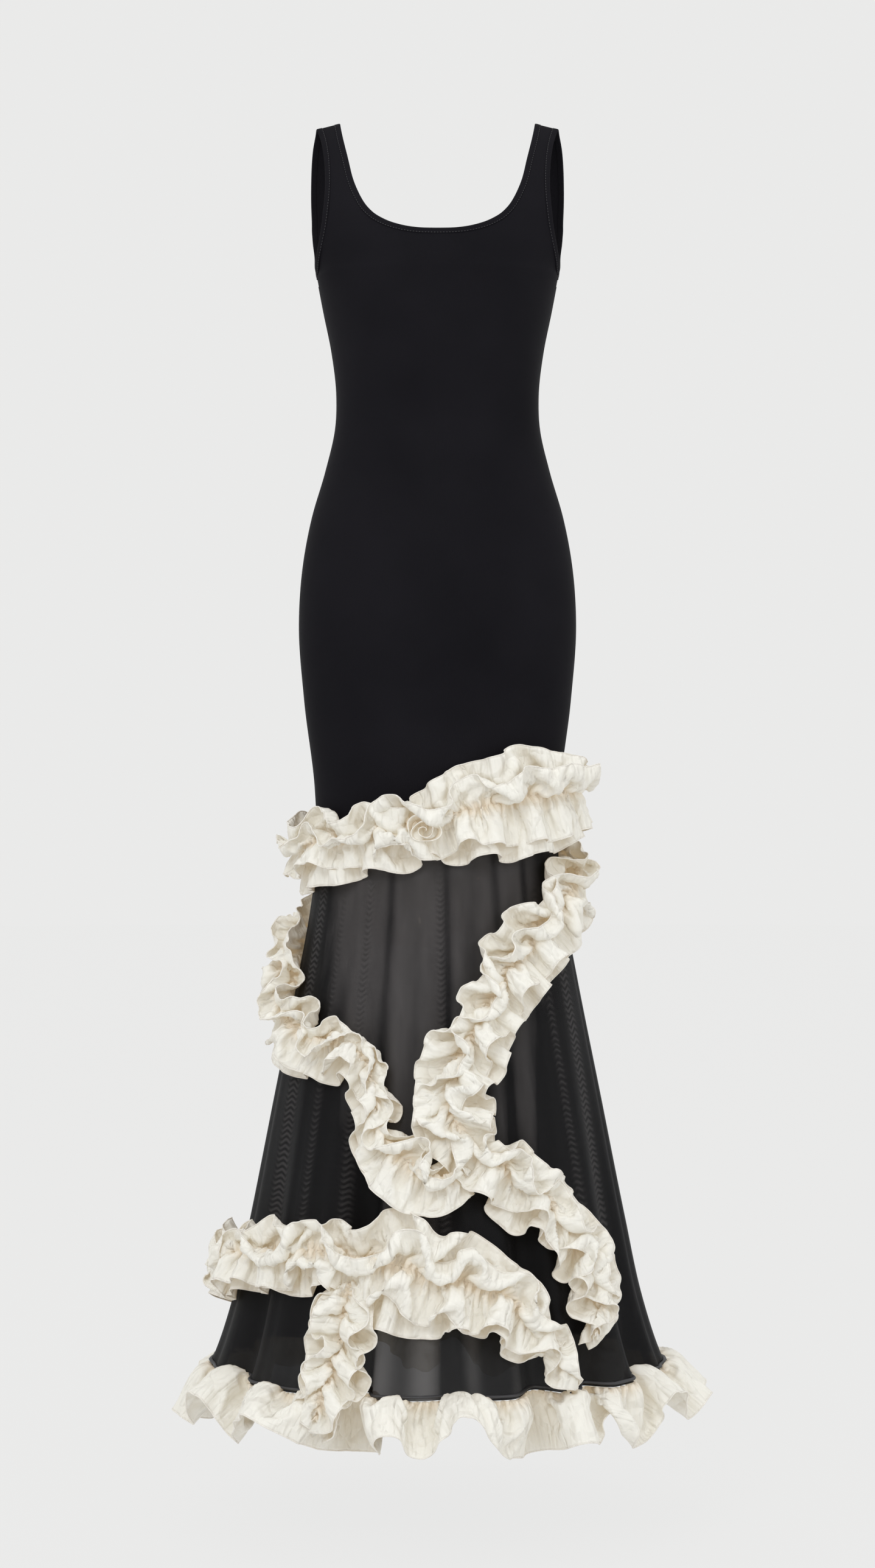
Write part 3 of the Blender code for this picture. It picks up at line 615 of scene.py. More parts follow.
def buildBinding(name, edge, inner, count):
    edge, inner = evenLoop(edge, count), evenLoop(inner, count)
    along, beyond, out = loopDirections(edge, inner)
    middle = edge - out * body["wall"] / 2
    turn = np.linspace(0, 2 * math.pi, binding["rows"] + 1)
    half, thick = binding["width"] / 2 + 0.35, binding["thick"]
    # a flat tube: the cosine gives its width, the sine its thickness, both squared off a little
    wide = np.sign(np.cos(turn)) * np.abs(np.cos(turn)) ** 0.6 * half + half - 0.7
    high = np.sign(np.sin(turn)) * np.abs(np.sin(turn)) ** 0.6 * thick
    table = middle[None] + beyond[None] * wide[:, None, None] + out[None] * high[:, None, None]
    table = np.concatenate([table, table[:, :1]], axis=1)
    mesh = gridMesh(name + "_turned", table, measured(table), weld=True)
    rework(mesh, faceOutward)
    addPiece(mesh, jersey, [name])
    line = middle + beyond * binding["stitchAt"] + out * thick * 0.98
    line = np.concatenate([line, line[:1]])
    addStitches(name + "_stitches", line, np.concatenate([along, along[:1]]), np.concatenate([out, out[:1]]),
                binding["stitchPitch"], binding["stitchLength"], 0.32, blackThread)


def tubeAlong(name, line, radius, sides, material, closed, out=None, flatten=1.0, keep=True):
    # a round or flattened tube along a line, its rings turned to a given outward direction
    along = np.roll(line, -1, axis=0) - np.roll(line, 1, axis=0)
    if not closed:
        along[0], along[-1] = line[1] - line[0], line[-1] - line[-2]
    along = unit(along)
    out = np.array([0, 0, 1.0]) if out is None else out
    side = unit(np.cross(along, np.broadcast_to(out, line.shape)))
    up = np.cross(side, along)
    turn = np.linspace(0, 2 * math.pi, sides + 1)
    radius, turn = np.broadcast_to(radius, len(line))[None, :, None], turn[:, None, None]
    table = line[None] + radius * (np.cos(turn) * side[None] + flatten * np.sin(turn) * up[None])
    if closed:
        table = np.concatenate([table, table[:, :1]], axis=1)
    uv = np.stack(np.meshgrid(distances(table[0]), turn.ravel() * 2), axis=-1)
    mesh = gridMesh(name, table, uv, weld=True)
    if not closed:
        rework(mesh, closeEnds)
    rework(mesh, faceOutward)
    return addPiece(mesh, material) if keep else mesh


buildBinding("neck_binding", neckLoop(0, 1), neckLoop(0.15, 0.9), 420)
for hand, name in ((-1, "armhole_binding_left"), (1, "armhole_binding_right")):
    buildBinding(name, armholeLoop(hand, 0), armholeLoop(hand, 0.1), 240)
for hand, name in ((-1, "side_seam_left"), (1, "side_seam_right")):
    drop = np.linspace(levels["armhole"] + 8, seamDrop(90 * hand) - 4, 90)
    line = formPoint(np.full_like(drop, 90.0 * hand), drop)
    tubeAlong(name, line, 0.8, 8, jersey, False, out=np.array([hand, 0, 0.0]), flatten=0.6)
print("jersey body made")


# lightLeft and lightRight are drops and the angles there that bound the brighter middle of a panel; beyond them the
# sides are darkened with painted shade.
# Each band of moire has an angle, a reach in degrees and a strength.
skirt = {
    "columns": 150, "rows": 96, "wall": 0.7, "flat": (0.78, 0.66), "area": 0.36,
    "overlockAngle": 73.0, "overlockWidth": 10.0,
    "lightLeft": ([850, 1000, 1100, 1200, 1300, 1420], [-50, -41, -29, -22, -17, -16]),
    "lightRight": ([850, 1000, 1100, 1200, 1300, 1420], [46, 44, 36, 28, 22, 32]),
    "moireBands": (
        (-64, 4, 0.8), (-46, 1.6, 0.45), (-31, 1.8, 0.6), (1.5, 1.6, 0.6), (50, 2, 0.5),
        (64, 4, 0.8), (116, 4, 0.8), (160, 2, 0.5), (200, 2, 0.5), (244, 4, 0.8),
    ),
}


def buildSkirt(side):
    middle = 0 if side == "front" else 180
    u, v = np.meshgrid(np.linspace(-1, 1, skirt["columns"] + 1), np.linspace(0, 1, skirt["rows"] + 1))
    head = seamDrop(middle + 90 * u) - 1.0
    angle, drop = middle + 90 * u, levels["hem"] + (head - levels["hem"]) * v
    table = skirtPoint(angle, drop)
    mesh = gridMesh("skirt_" + side + "_sheer", table, measured(table))
    # the colour is darkened in the folds and at the sides as painted shade, and the cover is raised there where the
    # cloth doubles up
    turned = (angle - middle + 180) % 360 - 180
    beyond = np.maximum(np.interp(drop, *skirt["lightLeft"]) - turned, turned - np.interp(drop, *skirt["lightRight"]))
    shadeAndDoubling = foldDepth(angle, drop) / 30 + softFoldDepth(angle, drop) / 2.8 + 0.9 / (1 + np.exp(-(beyond - 3) / 2.5))
    # painted shade in a band round drop 1235
    shadeAndDoubling = shadeAndDoubling + 0.3 * np.exp(-(((drop - 1235) / 75) ** 2))
    moire = np.zeros_like(shadeAndDoubling)
    # each fold band is darkened with painted shade as well as made denser
    for fold in flareFolds:  # each flare fold runs up to the seam as a narrow doubled band
        away = (angle - fold[0] + 180) % 360 - 180
        shadeAndDoubling = shadeAndDoubling + 0.65 * np.exp(-((away / 2.3) ** 2))
    shown = np.clip((1340 - drop) / 100, 0, 1) * np.clip((drop - 830) / 60, 0, 1)
    for at, reach, strength in skirt["moireBands"]:
        away = (angle - at - (drop - 1000) * 0.004 + 180) % 360 - 180
        moire = moire + strength * np.exp(-((away / reach) ** 4)) * shown
    pointValues(mesh, "moire", np.clip(moire, 0, 1))
    pointValues(mesh, "shadeAndDoubling", np.clip(shadeAndDoubling, 0, 1))
    obj = addPiece(mesh, sheer, ["skirt_" + side], wall=skirt["wall"])


def buildOverlock(hand):
    drop = np.linspace(levels["seam"] + 10, levels["hem"] - 4, 110)
    angle = np.full_like(drop, hand * skirt["overlockAngle"])
    inside = -1.6
    centre = skirtPoint(angle, drop, inside)
    degree = np.linalg.norm(skirtPoint(angle + 1.0, drop, inside) - centre, axis=1)
    name = "side_overlock_" + ("left" if hand < 0 else "right")
    table = np.stack([skirtPoint(angle + k * skirt["overlockWidth"] / 4 / degree, drop, inside) for k in range(-2, 3)])
    uv = np.stack(np.meshgrid(distances(centre), np.linspace(0, skirt["overlockWidth"], 5)), axis=-1)[..., ::-1]
    obj = addPiece(gridMesh(name, table, uv), overlock, wall=0.5, side=0)


def buildSkirtTrim():
    angle = np.linspace(-180, 180, 420)[:-1]
    line = skirtPoint(angle, levels["hem"] - 3.5, 1.6)
    random = np.random.default_rng(12)
    lumps = 2.3 + 0.5 * np.convolve(random.uniform(-1, 1, len(angle)), [0.25, 0.5, 0.25], "same")
    tubeAlong("hem_roll", line, lumps, 8, blackThread, True, flatten=0.7)


for side in ("front", "back"):
    buildSkirt(side)
for hand in (-1, 1):
    buildOverlock(hand)
buildSkirtTrim()
print("sheer skirt made")


# Each strip's middle line runs through points given by angle and drop. Upper and lower are the widths of its two
# halves, wave the length of one lobe, and widen gives shares of its length and how wide it is there.
strips = {
    "lower_ruffle": {
        "wave": 64, "upper": 46, "lower": 46, "seed": 6,
        "widen": ([0, 0.6, 0.7, 0.76, 0.82, 0.88, 1], [1, 1, 1.15, 1.5, 1.4, 1.05, 0.95]),
        "angle": [
            -192, -186, -176, -162, -146, -128, -110, -92, -75, -59, -43, -28, -17, -8, 1, 10, 18, 24.5, 29.5, 33.5],
        "drop": [
            1388, 1372, 1354, 1337, 1324, 1315, 1309, 1302, 1292, 1280, 1272, 1271, 1277, 1285, 1293, 1302, 1318, 1343,
            1372, 1404],
    },
    "hem_ruffle_end": {
        "wave": 34, "upper": 46, "lower": 42, "seed": 7, "endWaves": 0.4,
        "widen": ([0, 0.3, 0.8, 1], [1.15, 1.05, 1.1, 1.1]),
        "angle": [-24, -25, -26, -27, -28],
        "drop": [1302, 1340, 1378, 1412, 1444],
    },
    "left_ruffle": {
        "wave": 60, "upper": 38, "lower": 47, "seed": 5,
        "widen": ([0, 0.35, 0.5, 0.66, 0.73, 0.82, 0.9, 1], [1, 1.1, 1, 0.94, 0.76, 0.78, 1.1, 1.25]),
        "angle": [
            -218, -200, -182, -162, -144, -128, -114, -104, -95, -87, -80, -71, -60, -50, -39, -30, -23.5, -21, -19.5,
            -16, -11, -5, 2, 8],
        "drop": [
            866, 881, 895, 908, 917, 924, 932, 941, 954, 972, 994, 1016, 1032, 1041, 1044, 1050, 1070, 1098, 1122, 1146,
            1166, 1180, 1187, 1185],
    },
    "right_ruffle": {
        "wave": 62, "upper": 45, "lower": 45, "seed": 3,
        "widen": ([0, 0.15, 0.3, 0.5, 0.62, 0.7, 1], [1.1, 1.12, 1, 1, 1.15, 1.0, 0.95]),
        "angle": [
            116, 104, 90, 70, 53, 42, 33, 26, 19, 12, 7, 4.5, 5, 9, 16, 24, 31, 37, 43, 46, 47, 45.5, 43],
        "drop": [
            806, 828, 857, 882, 905, 930, 951, 975, 1003, 1036, 1068, 1100, 1126, 1148, 1168, 1190, 1213, 1238, 1262,
            1288, 1314, 1338, 1360],
    },
}
ring = {"waves": 14, "wave": 63, "seed": 1, "upper": 52, "lower": 52,
        "widen": ([0, 0.1, 0.27, 0.36, 0.5, 0.62, 1], [0.95, 0.92, 0.98, 1.14, 1.12, 1.0, 0.95])}
hemRuffle = {"waves": 15, "seed": 2, "drop": 71, "closed": 2, "open": 78, "sway": 0.2, "ease": 0.35, "ratio": 1.7}

# A layer's edge opens from the closed angle to the open one; ratio is its cut length over the gathered length
layers = {
    "under": {
        "lift": 0.9, "closed": 4, "open": 62, "share": 1.06, "sway": 0.07, "ratio": 1.6, "waves": 1.0, "ceiling": 34.0},
    "over": {
        "lift": 2.8, "closed": 18, "open": 84, "share": 0.88, "sway": 0.13, "ratio": 1.75, "waves": 0.86, "ceiling": 46.0},
}

gathering = {
    "step": 2.8, "rowStep": 3.4, "pleat": 15.0, "pleatHeight": 2.3, "pleatFade": 16.0,
    "fold": 30.0, "foldHeight": 5.0,
    "jitter": 0.6, "uneven": 0.2, "stitchPitch": 6.0, "weakest": 0.15, "strongest": 1.4,
    "endTaper": 0.4, "endWaves": 0.8, "wall": 0.4, "rimWall": 0.8, "rollRadius": 0.75, "cap": 12.0,
}

# Map of how far out anything already reaches, over angle and drop, that the next ruffle lies on
floorGrid = {"angles": 360, "firstDrop": 640.0, "dropStep": 4.0, "drops": 230}


def bareFloor():
    drops = floorGrid["firstDrop"] + floorGrid["dropStep"] * np.arange(floorGrid["drops"])
    angle, drop = np.meshgrid(np.arange(floorGrid["angles"]) - 180.0, drops)
    deep = foldDepth(angle, drop)
    bridged = np.min([np.roll(deep, step, axis=1) for step in range(-5, 6)], axis=0)
    bridged = np.mean([np.roll(bridged, step, axis=1) for step in range(-2, 3)], axis=0)
    return np.maximum(-bridged, -deep) + 0.8


def onForm(points):
    # angle, drop, height above the form and outward direction of any points
    drop = -points[..., 2]
    out = formSize("halfWidth", drop)
    facing = np.where(points[..., 1] < 0, formSize("front", drop), formSize("back", drop))
    sine, cosine = points[..., 0] / out, -points[..., 1] / facing
    size = np.maximum(np.hypot(sine, cosine), 1e-6)
    normal = np.stack([sine / out, -cosine / facing, np.zeros_like(drop)], axis=-1)
    normal = unit(normal)
    reach = (out * sine * normal[..., 0] - facing * cosine * normal[..., 1]) / size
    return np.degrees(np.arctan2(sine, cosine)), drop, (size - 1) * reach, normal


def floorCell(angle, drop):
    column = np.rint(angle + 180).astype(int) % floorGrid["angles"]
    row = np.clip(np.rint((drop - floorGrid["firstDrop"]) / floorGrid["dropStep"]).astype(int), 0, floorGrid["drops"] - 1)
    return row, column


def floorAt(floor, angle, drop):
    # the floor map read between its cells
    across = (angle + 180) % 360
    up = np.clip((drop - floorGrid["firstDrop"]) / floorGrid["dropStep"], 0, floorGrid["drops"] - 1.001)
    c, r = np.floor(across).astype(int) % floorGrid["angles"], np.floor(up).astype(int)
    s, t, beside = across % 1, up % 1, (c + 1) % floorGrid["angles"]
    higher = floor[r, c] * (1 - s) + floor[r, beside] * s
    lower = floor[r + 1, c] * (1 - s) + floor[r + 1, beside] * s
    return higher * (1 - t) + lower * t


def raiseFloor(floor, points, bare):
    angle, drop, height, _ = onForm(points)
    row, column = floorCell(angle, drop)
    raised = floor.copy()
    for rowShift in (-1, 0, 1):
        for columnShift in (-1, 0, 1):
            r, c = np.clip(row + rowShift, 0, floorGrid["drops"] - 1), (column + columnShift) % floorGrid["angles"]
            np.maximum.at(raised, (r, c), np.minimum(height + 1.0, bare[r, c] + gathering["cap"]))
    for _ in range(2):
        raised = 0.5 * raised + 0.25 * (np.roll(raised, 1, axis=1) + np.roll(raised, -1, axis=1))
        raised[1:-1] = 0.5 * raised[1:-1] + 0.25 * (raised[:-2] + raised[2:])
    return np.maximum(raised, bare)


def waveStarts(count, seed):
    random = np.random.default_rng(seed)
    lengths = 1 + gathering["jitter"] * random.uniform(-1, 1, count)
    return np.concatenate([[0], np.cumsum(lengths)]) / lengths.sum()


def waveStrengths(count, seed, closed):
    random = np.random.default_rng(seed + 100)
    strengths = random.uniform(gathering["weakest"], gathering["strongest"], (count + 1, 2))
    if closed:
        strengths[-1] = strengths[0]
    return strengths


def slowNoise(count, reach, seed, closed=False):
    # a smooth random line from about -1 to 1
    random = np.random.default_rng(seed)
    kernel = np.hanning(max(3, int(reach) | 1))
    kernel /= kernel.sum()
    raw = random.uniform(-1, 1, count)
    padded = np.concatenate([raw, raw, raw]) if closed else np.concatenate([raw[::-1], raw, raw[::-1]])
    line = np.convolve(padded, kernel, "same")[count:2 * count]
    return line / max(np.abs(line).max(), 1e-9)


def stripPath(strip):
    knots = np.arange(len(strip["angle"]))
    fine = np.linspace(0, len(knots) - 1, 400)
    angle, drop = smoothAt(knots, strip["angle"], fine), smoothAt(knots, strip["drop"], fine)
    return angle, drop, distances(formPoint(angle, drop))


relaxing = {
    "turns": 60, "quickTurns": 24, "passes": 5, "damping": 0.86, "gravity": 0.05, "longestMove": 3.0,
    "stretch": 0.9, "shear": 0.25,
    "bend": 0.45, "far": 8, "longBend": 0.30, "longShare": 0.84,
}


def pull(a, b, freeA, freeB, rest, strength, pushOnly=False):
    gap = b - a
    length = np.sqrt((gap * gap).sum(-1, keepdims=True)) + 1e-6
    change = (length - rest) / length * strength
    if pushOnly:
        change = np.minimum(change, 0)
    change = gap * change / np.maximum(freeA + freeB, 1)
    a += change * freeA
    b -= change * freeB


def relax(points, free, centreRow, step, rowStep, floor, closed, settings):
    # lets a gathered sheet find its own folds: every thread keeps its cut length, and the cloth lies on the floor map
    points, before = points.copy(), points.copy()
    far = settings["far"]
    edgeShare = np.abs(np.arange(len(points)) - centreRow) / max(centreRow, len(points) - 1 - centreRow)
    stiff = (settings["longBend"] * edgeShare**1.5)[:, None, None]
    rowStep = np.broadcast_to(np.asarray(rowStep, float), points.shape[1])[None, :, None]
    diagonal = np.sqrt(step**2 + rowStep**2)
    for _ in range(settings["turns"]):
        move = (points - before) * settings["damping"]
        move[..., 2] -= settings["gravity"]
        longest = np.linalg.norm(move, axis=-1, keepdims=True)
        move *= np.minimum(1, settings["longestMove"] / np.maximum(longest, 1e-6))
        before = points.copy()
        points += move * free
        for _ in range(settings["passes"]):
            for start in (0, 1):
                a, b = points[:, start:-1:2], points[:, start + 1::2]
                pull(a, b, free[:, start:-1:2], free[:, start + 1::2], step, settings["stretch"])
                a, b = points[start:-1:2], points[start + 1::2]
                pull(a, b, free[start:-1:2], free[start + 1::2], rowStep, settings["stretch"])
                for lower, upper in ((slice(None, -1), slice(1, None)), (slice(1, None), slice(None, -1))):
                    a, b = points[lower, start:-1:2], points[upper, start + 1::2]
                    freeA, freeB = free[lower, start:-1:2], free[upper, start + 1::2]
                    pull(a, b, freeA, freeB, diagonal[:, start:-1:2], settings["shear"])
            for start in range(4):
                a, b = points[:, start:-2:4], points[:, start + 2::4]
                pull(a, b, free[:, start:-2:4], free[:, start + 2::4], 2 * step, settings["bend"], True)
                a, b = points[start:-2:4], points[start + 2::4]
                pull(a, b, free[start:-2:4], free[start + 2::4], 2 * rowStep, settings["bend"], True)
            for start in range(2 * far):
                a, b = points[:, start:-far:2 * far], points[:, start + far::2 * far]
                pull(a, b, free[:, start:-far:2 * far], free[:, start + far::2 * far],
                     far * step * settings["longShare"], stiff, True)
            if closed:
                points[:, 0] = points[:, -1] = (points[:, 0] + points[:, -1]) / 2
        angle, drop, height, normal = onForm(points)
        sunk = np.maximum(floorAt(floor, angle, drop) - height, 0)[..., None]
        points += normal * sunk * free
        before = np.where(sunk > 0, before + (points - before) * 0.7, before)
        high = np.maximum(height - settings["ceiling"], 0)[..., None]
        points -= normal * high * 0.5 * free
    return points


def settled(points, centreRow, rowStep, floor, closed, **changes):
    # relaxes a sheet that is pinned along its gathers
    free = np.ones(points.shape[:2] + (1,))
    free[centreRow] = 0.0
    settings = dict(relaxing, **changes)
    return relax(points, free, centreRow, gathering["step"], rowStep, floor, closed, settings)


def wingOpening(phase, strengths, layer, upper, extra):
    strength = np.interp(phase, range(len(strengths)), strengths[:, 0 if upper else 1])
    swing = 0.5 + 0.5 * np.sin(2 * math.pi * (phase + (0.0 if upper else 0.5)) + extra)
    return layer["closed"] + (layer["open"] - layer["closed"]) * swing * strength


def ruffleTable(path, strip, layer, floor, closed, seed):
    # the starting shape of one gathered layer, in rows from its lower edge over the gathers to its upper edge
    angles, drops, lengths = path
    waves = round((strip["waves"] if closed else max(2, lengths[-1] / strip["wave"])) * layer["waves"])
    count = max(8, round(lengths[-1] * layer["ratio"] / gathering["step"]))
    even = np.linspace(0, 1, count + 1)
    starts = waveStarts(waves, strip["seed"] + seed)
    at = even * lengths[-1]
    phase = np.interp(even, starts, range(waves + 1))
    if closed:
        phase = phase % waves
    widen = np.interp(even, *strip["widen"]) if "widen" in strip else np.ones(count + 1)
    unevenness = slowNoise(count + 1, 1.3 * count / waves, strip["seed"] + seed + 81, closed)
    widen = widen * (1 + gathering["uneven"] * unevenness)
    taper = np.ones(count + 1)
    if not closed:
        toEnd = np.minimum(phase, waves - phase) / strip.get("endWaves", gathering["endWaves"])
        taper = gathering["endTaper"] + (1 - gathering["endTaper"]) * np.clip(toEnd, 0, 1)
    angle, drop = np.interp(at, lengths, angles), np.interp(at, lengths, drops)
    centre = formPoint(angle, drop)
    along = np.gradient(centre, axis=0)
    if closed:
        along[0] = along[-1] = centre[1] - centre[-2]
    along = unit(along)
    kernel = np.hanning(13) / np.hanning(13).sum()
    along = unit(np.stack([smoothed(along[:, k], kernel) for k in range(3)], axis=-1))
    roundIt, down, out, degree, fall = formFrame(angle, drop)
    aside = np.cross(out, along)
    turned = np.einsum("ij,ij->i", np.cross(along, np.roll(along, -1, axis=0)), out)
    bend = turned / np.maximum(np.linalg.norm(np.roll(centre, -1, axis=0) - centre, axis=1), 0.5)
    bend[-1] = bend[-2]
    bend = smoothed(bend, np.ones(17) / 17)
    strengths = waveStrengths(waves, strip["seed"] + seed, closed)
    extra = 0.7 * slowNoise(count + 1, 60, seed + 11, closed)
    seat = floorAt(floor, angle, drop)
    seat = np.maximum(seat, smoothed(seat, np.ones(21) / 21, "wrap" if closed else "edge"))
    turns = 2 * math.pi * even * lengths[-1] * layer["ratio"]
    pleatPhase = turns / gathering["pleat"] + 2.2 * slowNoise(count + 1, 21, seed + 31, closed)
    foldPhase = turns / gathering["fold"] + 3.0 * slowNoise(count + 1, 41, seed + 51, closed)
    pleatSize = gathering["pleatHeight"] * (0.75 + 0.35 * slowNoise(count + 1, 17, seed + 41, closed))
    lowerRows = max(4, round(strip["lower"] * layer["share"] / gathering["rowStep"]))
    upperRows = max(4, round(strip["upper"] * layer["share"] / gathering["rowStep"]))
    cut = even * lengths[-1] * layer["ratio"]
    rows, uv = [], []
    for place in range(-lowerRows, upperRows + 1):
        isUpper = place >= 0
        rowReach = abs(place) * gathering["rowStep"]
        share = abs(place) / (upperRows if isUpper else lowerRows)
        reach = rowReach * taper * widen
        opened = np.radians(wingOpening(phase, strengths, layer, isUpper, extra))
        inward = np.maximum(bend * (1 if isUpper else -1), 1e-6)
        flat = (1 - np.exp(-inward * reach * np.cos(opened))) / inward * (1 if isUpper else -1)
        swing = np.sin(4 * math.pi * (phase + (0.0 if isUpper else 0.5)) + extra)
        sway = -layer["sway"] * strip["wave"] * share**1.3 * swing * taper
        move = aside * flat[:, None] + along * sway[:, None]
        atAngle = angle + np.einsum("ij,ij->i", move, roundIt) / degree
        atDrop = drop + np.einsum("ij,ij->i", move, down) / fall
        base = np.maximum(floorAt(floor, atAngle, atDrop), seat)
        pleat = pleatSize * (1 + np.sin(pleatPhase)) * math.exp(-rowReach / gathering["pleatFade"])
        folds = gathering["foldHeight"] * (1 + np.sin(foldPhase)) * math.exp(-(((rowReach - 16) / 13) ** 2)) * taper
        lift = base + layer["lift"] + reach * np.sin(opened) + pleat + folds
        rows.append(formPoint(atAngle, atDrop) + formFrame(atAngle, atDrop)[2] * lift[:, None])
        uv.append(np.stack([cut, np.full(count + 1, place * gathering["rowStep"])], axis=-1))
    return np.stack(rows), np.stack(uv), lowerRows, widen * taper, pleatPhase


def finishRuffle(name, table, uv, centreRow, replaced, bothEdges=True):
    mesh = gridMesh(name, table, uv)
    rows, steps = table.shape[:2]
    away = (np.arange(rows) - centreRow) * gathering["rowStep"]
    rim = np.zeros(rows)
    rim[-1] = 1.0
    if bothEdges:
        rim[0] = 1.0
    # the grid lists its points row by row
    rim = np.repeat(rim, steps)
    # the gather value carries painted shade, strongest at the gather line
    pointValues(mesh, "gather", np.repeat(np.exp(-((away / cottonCloth["gatherShadeReach"]) ** 2)), steps))
    pointValues(mesh, "rim", rim)
    obj = addPiece(mesh, cotton, replaced, wall=gathering["rimWall"], side=0)
    group = obj.vertex_groups.new(name="rim")
    group.add(np.nonzero(rim)[0].tolist(), 1.0, "REPLACE")
    wall = obj.modifiers["wall"]
    wall.vertex_group = "rim"
    wall.thickness_vertex_group = gathering["wall"] / gathering["rimWall"]


def rollEdges(name, table, closed, bothEdges=True):
    # the narrow hem rolled along each free edge
    beads = []
    for edge, inner in ((-1, -2), (0, 1))[:2 if bothEdges else 1]:
        line, out = table[edge], unit(table[edge] - table[inner])
        if closed:
            line, out = line[:-1], out[:-1]
        radius = gathering["rollRadius"]
        beads.append(tubeAlong("roll", line, radius, 6, cotton, closed, out=out, keep=False))
    mesh = joined(name, beads)
    pointValues(mesh, "rim", np.ones(len(mesh.vertices)))
    addPiece(mesh, cotton)


crinkles = {"pleat": 1.3, "fade": 20.0, "drift": 0.7, "crease": 2.5, "creaseReach": 11}


def crinkle(table, centreRow, pleatPhase, seed):
    # the small pleats that run out from the gathers, and a little unevenness everywhere
    along = np.gradient(table, axis=1)
    across = np.gradient(table, axis=0)
    normal = unit(np.cross(along, across))
    away = np.abs(np.arange(table.shape[0]) - centreRow)[:, None] * gathering["rowStep"]
    fade = np.exp(-away / crinkles["fade"]) * np.clip(away / 6, 0, 1)
    ridge = np.sin(pleatPhase)[None] * fade * crinkles["pleat"]
    drift = slowNoise(table.shape[1], 9, seed + 7)[None] * np.exp(-away / 30)
    crease = np.zeros(table.shape[:2])
    for number in range(2):  # a ridged line is sharp at its crest, like pressed cotton
        line = 1 - np.abs(slowNoise(table.shape[1], crinkles["creaseReach"], seed + 61 + number))
        lean = np.interp(np.arange(table.shape[1])[None] + (0.35 - 0.7 * number) * away, range(table.shape[1]), line**4)
        crease += (lean - 0.3) * np.exp(-((away - 20) / 24) ** 2)
    return table + normal * (ridge + drift * crinkles["drift"] + crease * crinkles["crease"])[..., None]


def makeRuffle(name, path, strip, layerName, floor, replaced, closed, seed):
    layer = layers[layerName]
    table, uv, centreRow, widths, pleatPhase = ruffleTable(path, strip, layer, floor, closed, seed)
    rowStep = gathering["rowStep"] * widths
    table = settled(table, centreRow, rowStep, floor, closed, ceiling=layer["ceiling"])
    table = crinkle(table, centreRow, pleatPhase, seed)
    rows = table.shape[0] - 1
    flat = (rows * rowStep.max() * mm, (table.shape[1] - 1) * gathering["step"] * mm)
    area = flat[0] * flat[1] * rowStep.mean() / rowStep.max()
    finishRuffle(name, table, uv, centreRow, replaced)
    rollEdges(name.replace("_cloth", "_rolled_edge"), table, closed)
    if layerName == "over":
        line = evenLine(table[centreRow], gathering["stitchPitch"] / 2)
        along = unit(np.gradient(line, axis=0))
        normal = onForm(line)[3]
        pitch = gathering["stitchPitch"]
        addStitches(name.replace("_over_cloth", "_gather_stitches"), line + normal * 0.6, along, normal,
                    pitch, pitch * 0.6, 0.45, creamThread)
    return table


def evenLine(line, step):
    length = distances(line)
    at = np.linspace(0, length[-1], max(3, round(length[-1] / step)))
    return np.stack([np.interp(at, length, line[:, k]) for k in range(3)], axis=-1)


bare = bareFloor()
floor = bare.copy()
for number, (name, strip) in enumerate(strips.items()):
    path = stripPath(strip)
    for layerName, seed in (("under", 20 * number), ("over", 20 * number + 3)):
        made = makeRuffle(f"{name}_{layerName}_cloth", path, strip, layerName, floor,
                          [f"{name}_{layerName}"], False, seed)
        floor = raiseFloor(floor, made, bare)
    print(name, "made")

ringAngles = np.linspace(-90, 270, 721)
ringPath = ringAngles, seamDrop(ringAngles), distances(formPoint(ringAngles, seamDrop(ringAngles)))
for layerName, seed in (("under", 200), ("over", 203)):
    made = makeRuffle(f"seam_ruffle_{layerName}_cloth", ringPath, ring, layerName, floor,
                      [f"seam_ruffle_{half}_{layerName}" for half in ("front", "back")], True, seed)
    floor = raiseFloor(floor, made, bare)


rosette = {
    "angle": -5.0, "turns": 2.7, "inner": 2.0, "outer": 17.0, "height": 17.0, "lift": 29.0, "below": 13.0, "flare": 5.0,
    "rows": 6, "steps": 150,
}


def buildRosette():
    # an end of the ruffle rolled up on itself at the front of the seam
    turn = np.linspace(0, 2 * math.pi * rosette["turns"], rosette["steps"])
    share = turn / turn[-1]
    angle, drop = rosette["angle"], float(seamDrop(rosette["angle"])) + rosette["below"]
    roundIt, down, out = (np.ravel(v) for v in formFrame(np.array([angle]), np.array([drop]))[:3])
    seat = formPoint(angle, drop) + out * (bare[floorCell(np.array(angle), drop)] + rosette["lift"])
    table = []
    for up in np.linspace(0, 1, rosette["rows"]):
        wobble = 1 + (0.10 + 0.10 * up) * np.sin(2.6 * turn + 1.0) * share
        radius = rosette["inner"] + (rosette["outer"] - rosette["inner"]) * share**0.85 + rosette["flare"] * up * share
        radius = radius * wobble
        height = up * rosette["height"] * (1 - 0.45 * share + 0.10 * np.sin(3.3 * turn))
        swirl = np.outer(radius * np.cos(turn), roundIt) - np.outer(radius * np.sin(turn), down) * 0.85
        table.append(seat + swirl + np.outer(height, out))
    table = np.stack(table)
    uv = measured(table)
    mesh = gridMesh("seam_ruffle_curl", table, uv)
    rows, steps = table.shape[:2]
    # painted shade, deepest at the foot of the curl
    pointValues(mesh, "gather", np.repeat(np.linspace(0.9, 0.1, rows), steps))
    pointValues(mesh, "rim", np.repeat(np.eye(rows)[-1], steps))
    curl = addPiece(mesh, cotton, wall=0.6, side=0)


buildRosette()
print("seam ruffle made")


